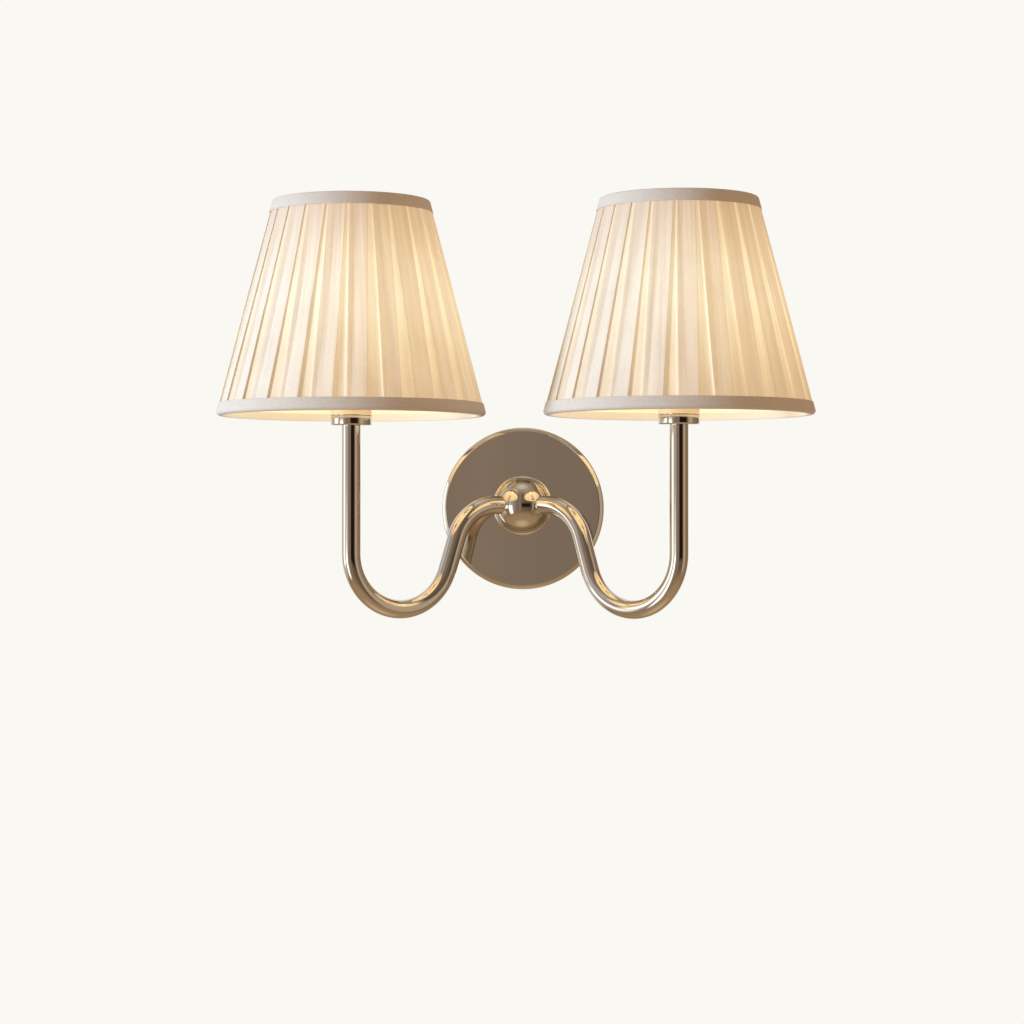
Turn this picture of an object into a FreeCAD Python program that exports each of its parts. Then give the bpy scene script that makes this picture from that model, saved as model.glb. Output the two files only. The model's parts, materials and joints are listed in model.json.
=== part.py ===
"""Double arm wall light: a round plate on the wall, a ball hub, two bent tube arms
and two pleated candle shades. Millimetres, +Z up, the wall at Y = 0, the room at -Y.
The origin is on the wall, at the centre of the plate."""

import FreeCAD, Part
import math
import os
from types import SimpleNamespace

import Sketcher
from FreeCAD import Placement, Rotation, Vector

DIMENSIONS = {
    # Wall plate: a dished disc with a bevelled edge
    "plate_dia": 107.8,
    "plate_depth": 15,
    "plate_wall": 1.2,
    "plate_face_dia": 102.4,
    "plate_bevel": 33,
    "plate_roll": 2,
    # Hub: the collar on the plate and the hollow ball in it, a little above the plate's centre
    "hub_rise": 2,
    "hub_reach": 24,
    "ball_dia": 34.6,
    "ball_wall": 2,
    "ball_floor": 2.5,
    "collar_dia": 39.6,
    "collar_height": 4.8,
    "collar_web": 2,
    "collar_lip": 0.7,
    "collar_cove": 4.2,
    # Threaded tube that clamps ball, collar and plate
    "nipple_dia": 10,
    "nipple_bore": 7.6,
    "nipple_rear": 9,
    "nipple_front": 21.5,
    "nut_across": 14,
    "nut_thick": 3,
    "washer_dia": 19,
    "washer_thick": 0.8,
    # Strap behind the plate
    "strap_length": 103.2,
    "strap_width": 16,
    "strap_thick": 2,
    "strap_bend": 3.5,
    "tab_height": 10,
    "slot_spacing": 64,
    "slot_length": 14,
    "slot_width": 5,
    "entry_dia": 13,
    "ear_width": 24,
    "ear_rise": 36,
    "grub_height": 6,
    "grub_dia": 4,
    "grub_length": 8,
    "earth_offset": 18,
    "earth_dia": 4,
    # Terminal block on the strap's ear
    "block_width": 24,
    "block_rise": 16,
    "block_drop": 18,
    "block_base": 6,
    "block_deep": 10.4,
    "way_pitch": 8,
    "way_dia": 3.4,
    "way_height": 6.6,
    # Arms
    "tube_dia": 12,
    "tube_bore": 10,
    "tube_start": 11.5,
    "lamp_spacing": 208,
    "arm_swing": 35,
    "upper_bend": 30.5,
    "arm_slope": 72,
    "slope_run": 22.5,
    "lower_bend": 36,
    "stem_top": 52,
    "flex_dia": 3,
    "flex_offset": 2.1,
    "flex_turn": 5,
    "flex_sweep": 12,
    # Cup, lampholder and candle sleeve on each stem
    "cup_dia": 27,
    "cup_waist": 26.2,
    "cup_height": 5,
    "cup_chamfer": 0.9,
    "spigot_dia": 23.4,
    "spigot_height": 1.5,
    "stem_nipple_top": 64,
    "stem_nipple_length": 22,
    "holder_dia": 22.4,
    "holder_top": 99,
    "holder_bore": 17.2,
    "holder_floor": 70,
    "wire_room": 8,
    "wire_hole": 3.2,
    "shell_dia": 15.8,
    "shell_wall": 0.6,
    "shell_top": 96,
    "contact_dia": 6,
    "contact_height": 3,
    "sleeve_dia": 26.4,
    "sleeve_wall": 1.2,
    "sleeve_top": 100,
    # Candle bulb, from the top of its cap
    "cap_top": 98,
    "cap_dia": 13.9,
    "cap_length": 21,
    "cap_wall": 0.45,
    "bulb_neck": 13.8,
    "bulb_dia": 35,
    "bulb_wall": 0.9,
    "belly_height": 33,
    "neck_bend": 20,
    "belly_bend": 30,
    "flame_bend": 70,
    "tip_bend": 3.5,
    "tip_contact": 4.8,
    "tip_height": 1.5,
    # Shades, from their bottom edge
    "shade_base": 58,
    "shade_height": 137,
    "shade_bottom_dia": 172.6,
    "shade_top_dia": 100.2,
    "trim_width": 8,
    "trim_thick": 0.4,
    "trim_wrap": 6.6,
    "trim_tuck": 5,
    "trim_bottom_roll": 3,
    "trim_top_roll": 1.2,
    "pleats": 24,
    "pleat_bottom": 13.8,
    "pleat_top": 12,
    "pleat_fold": 1.2,
    "cover_inset": 0.45,
    "cover_inner": 2.6,
    "cover_edge": 1,
    "cover_foot": 3.2,
    "lining_outer": 2.7,
    "lining_thick": 0.6,
    "ring_wire": 2.4,
    "ring_inset": 4.55,
    "ring_height": 2.2,
    "spoke_wire": 2,
    "spoke_count": 3,
    "hub_ring_dia": 15,
    "hub_ring_height": 113,
    "clip_wire": 1.6,
    "clip_half_width": 10.2,
    "clip_top_reach": 7.5,
    "clip_top": 111.1,
    "clip_bottom_reach": 19.5,
    "clip_bottom": 66,
}

DOC = FreeCAD.newDocument("wall_light")
SHEET = DOC.addObject("Spreadsheet::Sheet", "Sizes")
for row, (alias, number) in enumerate(DIMENSIONS.items(), 1):
    SHEET.set(f"A{row}", alias)
    SHEET.set(f"B{row}", str(number))
    SHEET.setAlias(f"B{row}", alias)
DOC.recompute()

H_AXIS = -1
V_AXIS = -2
START = 1
END = 2
CENTRE = 3
LEFT_TURN = 1
RIGHT_TURN = -1
SIDES = {"left": -1, "right": 1}
OUT_OF_WALL = Rotation(Vector(1, 0, 0), 90)
PARTS = []


class Size:
    """A length, angle or count: its value, and the sheet expression that gives it."""

    def __init__(self, value, text):
        self.value = float(value)
        self.text = text

    def __add__(self, other):
        other = size(other)
        return Size(self.value + other.value, f"({self.text} + {other.text})")

    def __sub__(self, other):
        other = size(other)
        return Size(self.value - other.value, f"({self.text} - {other.text})")

    def __mul__(self, other):
        other = size(other)
        return Size(self.value * other.value, f"({self.text} * {other.text})")

    def __truediv__(self, other):
        other = size(other)
        return Size(self.value / other.value, f"({self.text} / {other.text})")

    def __neg__(self):
        return Size(-self.value, f"(0 - {self.text})")

    def __radd__(self, other):
        return size(other) + self

    def __rsub__(self, other):
        return size(other) - self

    def __rmul__(self, other):
        return size(other) * self


def size(number):
    return number if isinstance(number, Size) else Size(number, str(number))


def sine(angle):
    return Size(math.sin(math.radians(angle.value)), f"sin({angle.text})")


def cosine(angle):
    return Size(math.cos(math.radians(angle.value)), f"cos({angle.text})")


def tangent(angle):
    return Size(math.tan(math.radians(angle.value)), f"tan({angle.text})")


def root(number):
    return Size(math.sqrt(number.value), f"sqrt({number.text})")


def leg(long_side, side):
    """The third side of a right-angled triangle."""
    return root(long_side * long_side - side * side)


S = SimpleNamespace(**{alias: Size(number, f"Sizes.{alias}") for alias, number in DIMENSIONS.items()})

# Sizes worked out from the driving ones
LAMP_X = S.lamp_spacing / 2
LAMP_Y = S.hub_reach + LAMP_X * tangent(S.arm_swing)
PLATE_FACE = S.plate_depth
BALL_SEAT = S.plate_depth + S.collar_web
NUT_FACE = S.plate_depth - S.plate_wall - S.washer_thick - S.nut_thick
CUP_TOP = S.stem_top + S.cup_height
HOLDER_BASE = CUP_TOP + S.spigot_height
SHADE_SLOPE = (S.shade_bottom_dia - S.shade_top_dia) / 2 / S.shade_height


def named(piece, label):
    piece.Label = label
    PARTS.append(piece)
    return piece


def new_body(label):
    return named(DOC.addObject("PartDesign::Body", label), label)


def put(piece, x=0, y=0, z=0, turn=None):
    """Places a piece at x, y, z, bound to the sheet, after turning it about its origin."""
    place = [size(x), size(y), size(z)]
    piece.Placement = Placement(Vector(*(p.value for p in place)), turn or Rotation())
    for axis, where in zip("xyz", place):
        piece.setExpression(f"Placement.Base.{axis}", where.text)


def sketch_on(body, role, name="outline"):
    plane = next(f for f in body.Origin.OriginFeatures if f.Role == role)
    sketch = body.newObject("Sketcher::SketchObject", name)
    sketch.AttachmentSupport = [(plane, "")]
    sketch.MapMode = "FlatFace"
    return sketch


def shift_sketch(sketch, x=0, y=0, z=0, turn=None):
    """Moves a sketch off its plane: x and y in the sketch, z along its normal."""
    place = [size(x), size(y), size(z)]
    sketch.AttachmentOffset = Placement(Vector(*(p.value for p in place)), turn or Rotation())
    for axis, where in zip("xyz", place):
        sketch.setExpression(f"AttachmentOffset.Base.{axis}", where.text)


def constrain(sketch, rules):
    """Adds (kind, geometry arguments, size or None) rules and binds each size to the sheet."""
    first = sketch.ConstraintCount
    made = []
    for kind, where, amount in rules:
        extra = () if amount is None else (amount.value,)
        made.append(Sketcher.Constraint(kind, *where, *extra))
    sketch.addConstraint(made)
    for number, (_, _, amount) in enumerate(rules, first):
        if amount is not None:
            sketch.setExpression(f"Constraints[{number}]", amount.text)


def pin(geometry, end, x, y):
    """Rules that hold one end of an edge at x, y of the sketch."""
    rules = []
    for kind, amount, axis in (("DistanceX", size(x), V_AXIS), ("DistanceY", size(y), H_AXIS)):
        if amount.value == 0:
            rules.append(("PointOnObject", (geometry, end, axis), None))
        else:
            rules.append((kind, (-1, START, geometry, end), amount))
    return rules


def arc_between(a, b, radius, turn):
    """An arc of under half a circle from a to b. Its centre lies left of the way for a left turn."""
    middle = (a + b) / 2
    way = b - a
    left = Vector(-way.y, way.x, 0).normalize()
    centre = middle + left * turn * math.sqrt(radius**2 - (way.Length / 2) ** 2)
    start, end = (a, b) if turn == LEFT_TURN else (b, a)
    angles = [math.atan2(p.y - centre.y, p.x - centre.x) for p in (start, end)]
    return Part.ArcOfCircle(Part.Circle(centre, Vector(0, 0, 1), radius), *angles)


def draw(sketch, corners, arcs=None, closed=True):
    """Draws straight edges through the corners, each corner held at its sizes.
    arcs gives the edges that are round, as edge number: (radius, turn)."""
    arcs = arcs or {}
    points = [Vector(size(x).value, size(y).value, 0) for x, y in corners]
    count = len(corners) if closed else len(corners) - 1
    first = sketch.GeometryCount
    ends = []
    rules = []
    for n in range(count):
        a, b = points[n], points[(n + 1) % len(points)]
        if n in arcs:
            radius, turn = arcs[n]
            sketch.addGeometry(arc_between(a, b, size(radius).value, turn))
            ends.append((START, END) if turn == LEFT_TURN else (END, START))
            rules.append(("Radius", (first + n,), size(radius)))
        else:
            sketch.addGeometry(Part.LineSegment(a, b))
            ends.append((START, END))
        rules += pin(first + n, ends[n][0], *corners[n])
    for n in range(count if closed else count - 1):
        after = (n + 1) % count
        rules.append(("Coincident", (first + n, ends[n][1], first + after, ends[after][0]), None))
    if not closed:
        rules += pin(first + count - 1, ends[-1][1], *corners[-1])
    constrain(sketch, rules)


def draw_circle(sketch, radius, x=0, y=0):
    radius = size(radius)
    geometry = sketch.addGeometry(
        Part.Circle(Vector(size(x).value, size(y).value, 0), Vector(0, 0, 1), radius.value)
    )
    constrain(sketch, [("Radius", (geometry,), radius)] + pin(geometry, CENTRE, x, y))


def draw_slot(sketch, length, width, x):
    """A round-ended slot along the sketch's x axis, centred at x on that axis."""
    half, radius = (length - width) / 2, width / 2
    first = sketch.GeometryCount
    rules = []
    for n, (centre, way) in enumerate(((x + half, 1), (x - half, -1))):
        low = Vector(x.value - way * half.value, -way * radius.value, 0)
        high = Vector(centre.value, -way * radius.value, 0)
        sketch.addGeometry(Part.LineSegment(low, high))
        round_end = Part.Circle(Vector(centre.value, 0, 0), Vector(0, 0, 1), radius.value)
        begin = -way * math.pi / 2
        sketch.addGeometry(Part.ArcOfCircle(round_end, begin, begin + math.pi))
        rules += pin(first + 2 * n + 1, CENTRE, centre, 0)
    for n in range(4):
        rules.append(("Tangent", (first + n, END, first + (n + 1) % 4, START), None))
    rules += [("Radius", (first + n,), radius) for n in (1, 3)]
    constrain(sketch, rules)


def revolve(body, corners, arcs=None):
    """Turns an outline, x from the axis and y along it, about the body's Z axis."""
    sketch = sketch_on(body, "XZ_Plane")
    draw(sketch, corners, arcs)
    feature = body.newObject("PartDesign::Revolution", "turned")
    feature.Profile = sketch
    feature.ReferenceAxis = (sketch, ["V_Axis"])
    feature.Angle = 360
    return feature


def turned(label, corners, arcs=None):
    body = new_body(label)
    revolve(body, corners, arcs)
    return body


def pad(body, sketch, length, symmetric=False):
    feature = body.newObject("PartDesign::Pad", "pad")
    feature.Profile = sketch
    feature.Length = size(length).value
    feature.setExpression("Length", size(length).text)
    if symmetric:
        feature.SideType = "Symmetric"
    return feature


def pocket(body, sketch, length=None, symmetric=False, backward=False):
    feature = body.newObject("PartDesign::Pocket", "pocket")
    feature.Profile = sketch
    if length is None:
        feature.Type = "ThroughAll"
    else:
        feature.Length = size(length).value
        feature.setExpression("Length", size(length).text)
    if symmetric:
        feature.SideType = "Symmetric"
    feature.Reversed = backward
    return feature


def on_hub_axis(body):
    """Stands a turned piece on the hub's axis, with its own Z out of the wall."""
    put(body, 0, 0, S.hub_rise, OUT_OF_WALL)


def lamp_place(side, body, z):
    put(body, SIDES[side] * LAMP_X, -LAMP_Y, z)


def back_plate():
    """The dish: side wall, rolled corner, bevel and flat face, with one hole for the nipple."""
    rim, wall, face = S.plate_dia / 2, S.plate_wall, S.plate_face_dia / 2
    inset = S.plate_roll * (1 - sine(S.plate_bevel))
    bevel_top = rim - inset
    bevel_drop = (bevel_top - face) * tangent(S.plate_bevel)
    roll_end = PLATE_FACE - bevel_drop
    roll_start = roll_end - S.plate_roll * cosine(S.plate_bevel)
    inner_face = face - wall * tangent(S.plate_bevel / 2)
    inner_x = bevel_top - wall * sine(S.plate_bevel)
    inner_y = roll_end - wall * cosine(S.plate_bevel)
    corners = [
        (rim, 0),
        (rim, roll_start),
        (bevel_top, roll_end),
        (face, PLATE_FACE),
        (0, PLATE_FACE),
        (0, PLATE_FACE - wall),
        (inner_face, PLATE_FACE - wall),
        (inner_x, inner_y),
        (rim - wall, roll_start),
        (rim - wall, 0),
    ]
    arcs = {1: (S.plate_roll, LEFT_TURN), 7: (S.plate_roll - wall, RIGHT_TURN)}
    body = turned("back_plate", corners, arcs)
    cut = sketch_on(body, "XY_Plane", "nipple_hole")
    shift_sketch(cut, z=PLATE_FACE + 1)
    draw_circle(cut, S.nipple_dia / 2 + 0.1, 0, S.hub_rise)
    pocket(body, cut)
    side_holes = sketch_on(body, "YZ_Plane", "grub_holes")
    draw_circle(side_holes, S.grub_dia / 2, 0, S.grub_height)
    pocket(body, side_holes, S.plate_dia + 2, symmetric=True)
    put(body, 0, 0, 0, OUT_OF_WALL)


def hub_collar():
    """A ring with a coved flank and a thin lip, on a web that the ball is clamped to."""
    foot, top = S.collar_dia / 2, PLATE_FACE + S.collar_height
    seat = leg(S.ball_dia / 2, S.hub_reach - top) + 0.1
    hole = S.nipple_dia / 2 + 0.1
    corners = [
        (hole, PLATE_FACE),
        (foot, PLATE_FACE),
        (foot, PLATE_FACE + S.collar_lip),
        (foot - 0.5, PLATE_FACE + S.collar_lip),
        (seat + S.collar_lip, top - S.collar_lip),
        (seat + S.collar_lip, top),
        (seat, top),
        (seat, BALL_SEAT),
        (hole, BALL_SEAT),
    ]
    body = turned("hub_collar", corners, {3: (S.collar_cove, RIGHT_TURN)})
    on_hub_axis(body)


def hub_ball():
    """A hollow ball, cut flat where it stands on the collar, with a socket for each arm."""
    outer, inner = S.ball_dia / 2, S.ball_dia / 2 - S.ball_wall
    floor = BALL_SEAT + S.ball_floor
    bore = S.nipple_dia / 2
    corners = [
        (bore, BALL_SEAT),
        (leg(outer, S.hub_reach - BALL_SEAT), BALL_SEAT),
        (outer, S.hub_reach),
        (0, S.hub_reach + outer),
        (0, S.hub_reach + inner),
        (inner, S.hub_reach),
        (leg(inner, S.hub_reach - floor), floor),
        (bore, floor),
    ]
    arcs = {1: (outer, LEFT_TURN), 2: (outer, LEFT_TURN), 4: (inner, RIGHT_TURN), 5: (inner, RIGHT_TURN)}
    body = new_body("hub_ball")
    revolve(body, corners, arcs)
    for side in SIDES.values():
        lean = -S.arm_swing.value if side > 0 else 180 + S.arm_swing.value
        socket = sketch_on(body, "YZ_Plane", "arm_socket")
        shift_sketch(socket, y=S.hub_reach, turn=Rotation(Vector(1, 0, 0), lean))
        draw_circle(socket, S.tube_dia / 2)
        pocket(body, socket, outer + 1, backward=True)
    on_hub_axis(body)


def tube_piece(label, outer, bore, low, high):
    return turned(label, [(bore / 2, low), (outer / 2, low), (outer / 2, high), (bore / 2, high)])


def hexagon(sketch, across):
    corner = across / 2 / cosine(size(30))
    draw(sketch, [(corner * cosine(size(a)), corner * sine(size(a))) for a in range(30, 390, 60)])


def hub_fixing():
    """The threaded tube through ball, collar and plate, with its washer and nut inside the plate."""
    on_hub_axis(tube_piece("hub_nipple", S.nipple_dia, S.nipple_bore, S.nipple_rear, S.nipple_front))
    washer_face = NUT_FACE + S.nut_thick
    washer = tube_piece(
        "hub_washer", S.washer_dia, S.nipple_dia + 0.4, washer_face, washer_face + S.washer_thick
    )
    on_hub_axis(washer)
    nut = new_body("hub_nut")
    outline = sketch_on(nut, "XY_Plane")
    shift_sketch(outline, z=NUT_FACE)
    hexagon(outline, S.nut_across)
    draw_circle(outline, S.nipple_dia / 2)
    pad(nut, outline, S.nut_thick)
    on_hub_axis(nut)


def wall_bracket():
    """A bent steel strap with two slots, a cable entry, tabs for the plate and an ear for the
    terminal block. Its own Z points out of the wall."""
    end, thick, bend, tab = S.strap_length / 2, S.strap_thick, S.strap_bend, S.tab_height
    corners = [
        (-(end - bend), 0),
        (end - bend, 0),
        (end, bend),
        (end, tab),
        (end - thick, tab),
        (end - thick, bend),
        (end - bend, thick),
        (-(end - bend), thick),
        (-(end - thick), bend),
        (-(end - thick), tab),
        (-end, tab),
        (-end, bend),
    ]
    arcs = {1: (bend, LEFT_TURN), 5: (bend - thick, RIGHT_TURN)}
    arcs.update({7: (bend - thick, RIGHT_TURN), 11: (bend, LEFT_TURN)})
    body = new_body("wall_bracket")
    profile = sketch_on(body, "XZ_Plane")
    draw(profile, corners, arcs)
    pad(body, profile, S.strap_width, symmetric=True)
    ear = sketch_on(body, "XY_Plane", "ear")
    half = S.ear_width / 2
    draw(ear, [(-half, 0), (half, 0), (half, S.ear_rise), (-half, S.ear_rise)])
    pad(body, ear, thick)
    holes = sketch_on(body, "XY_Plane", "wall_holes")
    for side in (-1, 1):
        draw_slot(holes, S.slot_length, S.slot_width, side * S.slot_spacing / 2)
    draw_circle(holes, S.entry_dia / 2)
    draw_circle(holes, S.earth_dia / 2, -S.earth_offset, 0)
    pocket(body, holes, thick, backward=True)
    tab_holes = sketch_on(body, "YZ_Plane", "tab_holes")
    draw_circle(tab_holes, S.grub_dia / 2, 0, S.grub_height)
    pocket(body, tab_holes, S.strap_length + 2, symmetric=True)
    put(body, 0, 0, 0, OUT_OF_WALL)


def primitive(kind, name, **amounts):
    """A Part primitive whose sizes are bound to the sheet."""
    piece = DOC.addObject(kind, name)
    for key, amount in amounts.items():
        amount = size(amount)
        setattr(piece, key, amount.value)
        piece.setExpression(key, amount.text)
    return piece


def cut_from(base, tool):
    piece = DOC.addObject("Part::Cut", f"cut_{base.Name}")
    piece.Base = base
    piece.Tool = tool
    return piece


def group(label, pieces):
    """Like pieces that share one node, as separate solids."""
    piece = DOC.addObject("Part::Compound", label)
    piece.Links = pieces
    return named(piece, label)


def joined(label, pieces):
    """Wires welded into one piece."""
    piece = DOC.addObject("Part::MultiFuse", label)
    piece.Shapes = pieces
    return named(piece, label)


def plate_screws():
    """Slotted grub screws through the plate's side wall into the strap's tabs."""
    rim = leg(S.plate_dia / 2, S.grub_dia / 2)
    screws = []
    for side in SIDES.values():
        shank = primitive("Part::Cylinder", "grub", Radius=S.grub_dia / 2, Height=S.grub_length)
        start = rim - S.grub_length if side > 0 else -rim
        put(shank, start, -S.grub_height, 0, Rotation(Vector(0, 1, 0), 90))
        slot = primitive("Part::Box", "grub_slot", Length=1.4, Width=0.8, Height=S.grub_dia)
        put(slot, side * rim - 0.7, -S.grub_height - 0.4, -S.grub_dia / 2)
        screws.append(cut_from(shank, slot))
    group("plate_screws", screws)


def earth_terminal():
    """The earthing screw in the strap and the cup washer under its head."""
    seat = S.strap_thick
    washer = turned(
        "earth_washer",
        [(S.earth_dia / 2, seat), (4.5, seat), (4.5, seat + 1.6), (3.9, seat + 1.6), (3.9, seat + 0.8),
         (S.earth_dia / 2, seat + 0.8)],
    )
    put(washer, -S.earth_offset, 0, 0, OUT_OF_WALL)
    head = seat + 0.8
    shank = S.earth_dia / 2
    screw = turned(
        "earth_screw",
        [(0, 0.2), (shank, 0.2), (shank, head), (3.6, head), (3.6, head + 1.6), (2.8, head + 2.6),
         (0, head + 2.6)],
    )
    slot = sketch_on(screw, "XY_Plane", "driver_slot")
    shift_sketch(slot, z=head + 2.6)
    draw(slot, [(-4, -0.5), (4, -0.5), (4, 0.5), (-4, 0.5)])
    pocket(screw, slot, 1.3)
    put(screw, -S.earth_offset, 0, 0, OUT_OF_WALL)


def terminal_block():
    """Three ways side by side: a base with a tower over each way, wire holes along Z and a
    screw well into each end of each way."""
    body = new_body("terminal_block")
    wide, rise, low = S.block_width / 2, S.block_rise, S.block_drop
    base = sketch_on(body, "XY_Plane", "base")
    shift_sketch(base, z=S.strap_thick)
    draw(base, [(-wide, low), (wide, low), (wide, low + rise), (-wide, low + rise)])
    pad(body, base, S.block_base)
    towers = sketch_on(body, "XY_Plane", "towers")
    shift_sketch(towers, z=S.strap_thick)
    tower = S.way_pitch / 2 - 0.8
    for way in (-1, 0, 1):
        middle = way * S.way_pitch
        draw(towers, [(middle - tower, low + 1), (middle + tower, low + 1),
                      (middle + tower, low + rise - 1), (middle - tower, low + rise - 1)])
    pad(body, towers, S.block_deep)
    ways = sketch_on(body, "XZ_Plane", "ways")
    for way in (-1, 0, 1):
        draw_circle(ways, S.way_dia / 2, way * S.way_pitch, S.way_height)
    pocket(body, ways, 2 * (low + rise) + 2, symmetric=True)
    wells = sketch_on(body, "XY_Plane", "wells")
    shift_sketch(wells, z=S.way_height)
    for way in (-1, 0, 1):
        for end in (low + 4.5, low + rise - 4.5):
            draw_circle(wells, 1.6, way * S.way_pitch, end)
    pocket(body, wells, S.block_deep, backward=True)
    put(body, 0, 0, 0, OUT_OF_WALL)
    barrels, screws = [], []
    for way in (-1, 0, 1):
        outside = primitive("Part::Cylinder", "barrel_outside", Radius=S.way_dia / 2, Height=rise - 3)
        bore = primitive("Part::Cylinder", "barrel_bore", Radius=S.way_dia / 2 - 0.5, Height=rise - 3)
        for round_part in (outside, bore):
            put(round_part, way * S.way_pitch, -S.way_height, low + 1.5)
        barrels.append(cut_from(outside, bore))
        for end in (low + 4.5, low + rise - 4.5):
            screw = primitive("Part::Cylinder", "clamp_screw", Radius=1.5, Height=3)
            put(screw, way * S.way_pitch, -(S.way_height + S.way_dia / 2), end, OUT_OF_WALL)
            screws.append(screw)
    group("terminal_barrels", barrels)
    group("terminal_screws", screws)


def arm_run():
    """Corners and bends of an arm's centre line in its own plane, from the ball's centre:
    level out of the ball, down, round the lower bend and up the stem."""
    slope, upper, lower, run = S.arm_slope, S.upper_bend, S.lower_bend, S.slope_run
    reach = LAMP_X / cosine(S.arm_swing)
    start = reach - (upper + lower) * sine(slope) - run * cosine(slope) - lower
    first = (start + upper * sine(slope), -(upper * (1 - cosine(slope))))
    second = (first[0] + run * cosine(slope), first[1] - run * sine(slope))
    third = (reach, second[1] + lower * cosine(slope))
    corners = [(start, size(0)), first, second, third]
    bends = {1: (upper, RIGHT_TURN), 3: (lower, LEFT_TURN)}
    return corners, bends


def arm_tube(side):
    """Bent tube, drawn along X and Z of its own body and then swung round to its side."""
    corners, bends = arm_run()
    body = new_body(f"{side}_arm_tube")
    path = sketch_on(body, "XZ_Plane", "centre_line")
    route = [(S.tube_start, size(0))] + corners + [(corners[3][0], S.stem_top - S.hub_rise)]
    draw(path, route, bends, closed=False)
    ring = sketch_on(body, "YZ_Plane", "section")
    shift_sketch(ring, z=S.tube_start)
    draw_circle(ring, S.tube_dia / 2)
    draw_circle(ring, S.tube_bore / 2)
    feature = body.newObject("PartDesign::AdditivePipe", "bent_tube")
    feature.Profile = ring
    feature.Spine = path
    swing = -S.arm_swing.value if side == "right" else 180 + S.arm_swing.value
    put(body, 0, -S.hub_reach, S.hub_rise, Rotation(Vector(0, 0, 1), swing))


def rounded(points, radii):
    """Straight edges through the points, with a tangent arc of the given radius at each inner one."""
    edges = []
    here = points[0]
    for before, corner, after, radius in zip(points, points[1:], points[2:], radii):
        back, on = (before - corner).normalize(), (after - corner).normalize()
        half = back.getAngle(on) / 2
        cut = radius / math.tan(half)
        start, end = corner + back * cut, corner + on * cut
        middle_way = (back + on).normalize()
        middle = corner + middle_way * (radius / math.sin(half) - radius)
        edges.append(Part.LineSegment(here, start).toShape())
        edges.append(Part.Arc(start, middle, end).toShape())
        here = end
    edges.append(Part.LineSegment(here, points[-1]).toShape())
    return edges


def arm_flex(side):
    """The lamp's flex in one length: from the terminal block, through the nipple and the ball,
    round the arm's bends inside the tube and up to the lampholder's contact."""
    sign = SIDES[side]
    swing = math.radians(S.arm_swing.value)
    hub = Vector(0, -S.hub_reach.value, S.hub_rise.value)
    way = Vector(sign * math.cos(swing), -math.sin(swing), 0)

    def on_arm(across, up):
        return hub + way * size(across).value + Vector(0, 0, size(up).value)

    corners, bends = arm_run()
    offset, flex = S.flex_offset.value, S.flex_dia.value / 2
    behind = -(S.strap_thick.value + 0.3 + flex)
    level = S.hub_rise.value
    meet = on_arm(offset / math.cos(swing), 0)
    points = [
        Vector(sign * offset, behind, S.block_drop.value),
        Vector(sign * offset, behind, level),
        meet,
        on_arm(*corners[0]),
    ]
    edges = rounded(points, [S.flex_turn.value, S.flex_sweep.value])
    slope = math.radians(S.arm_slope.value)
    upper, lower = S.upper_bend.value, S.lower_bend.value
    start = corners[0][0].value
    bend_middle = on_arm(start + upper * math.sin(slope / 2), -upper * (1 - math.cos(slope / 2)))
    edges.append(Part.Arc(on_arm(*corners[0]), bend_middle, on_arm(*corners[1])).toShape())
    edges.append(Part.LineSegment(on_arm(*corners[1]), on_arm(*corners[2])).toShape())
    centre_x, centre_z = corners[3][0].value - lower, corners[3][1].value
    turn = (math.pi / 2 + slope) / 2
    lowest = on_arm(centre_x + lower * math.cos(turn), centre_z - lower * math.sin(turn))
    edges.append(Part.Arc(on_arm(*corners[2]), lowest, on_arm(*corners[3])).toShape())
    top = Vector(sign * LAMP_X.value, -LAMP_Y.value, S.holder_floor.value)
    edges.append(Part.LineSegment(on_arm(*corners[3]), top).toShape())
    route = Part.Wire(edges)
    section = Part.Wire(Part.Circle(points[0], Vector(0, 0, -1), flex).toShape())
    solid = route.makePipeShell([section], True, False)
    print(f"{side} flex length {route.Length:.1f}, volume over section and length "
          f"{solid.Volume / (math.pi * flex**2 * route.Length):.4f}")
    piece = DOC.addObject("Part::Feature", f"{side}_arm_flex")
    piece.Shape = solid
    named(piece, f"{side}_arm_flex")


def lamp_cup(side):
    """Turned disc at the top of the stem, with a lip, and a spigot that centres the sleeve."""
    lip, waist, hole = S.cup_dia / 2, S.cup_waist / 2, S.nipple_dia / 2 + 0.1
    high, chamfer = S.cup_height, S.cup_chamfer
    corners = [
        (hole, 0),
        (waist - chamfer, 0),
        (waist, chamfer),
        (waist, high - 1.2),
        (lip, high - 0.8),
        (lip, high),
        (S.spigot_dia / 2, high),
        (S.spigot_dia / 2, high + S.spigot_height),
        (hole, high + S.spigot_height),
    ]
    lamp_place(side, turned(f"{side}_lamp_cup", corners), S.stem_top)


def stem_nipple(side):
    low = S.stem_nipple_top - S.stem_nipple_length
    piece = tube_piece(f"{side}_stem_nipple", S.nipple_dia, S.nipple_bore, low, S.stem_nipple_top)
    lamp_place(side, piece, 0)


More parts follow.
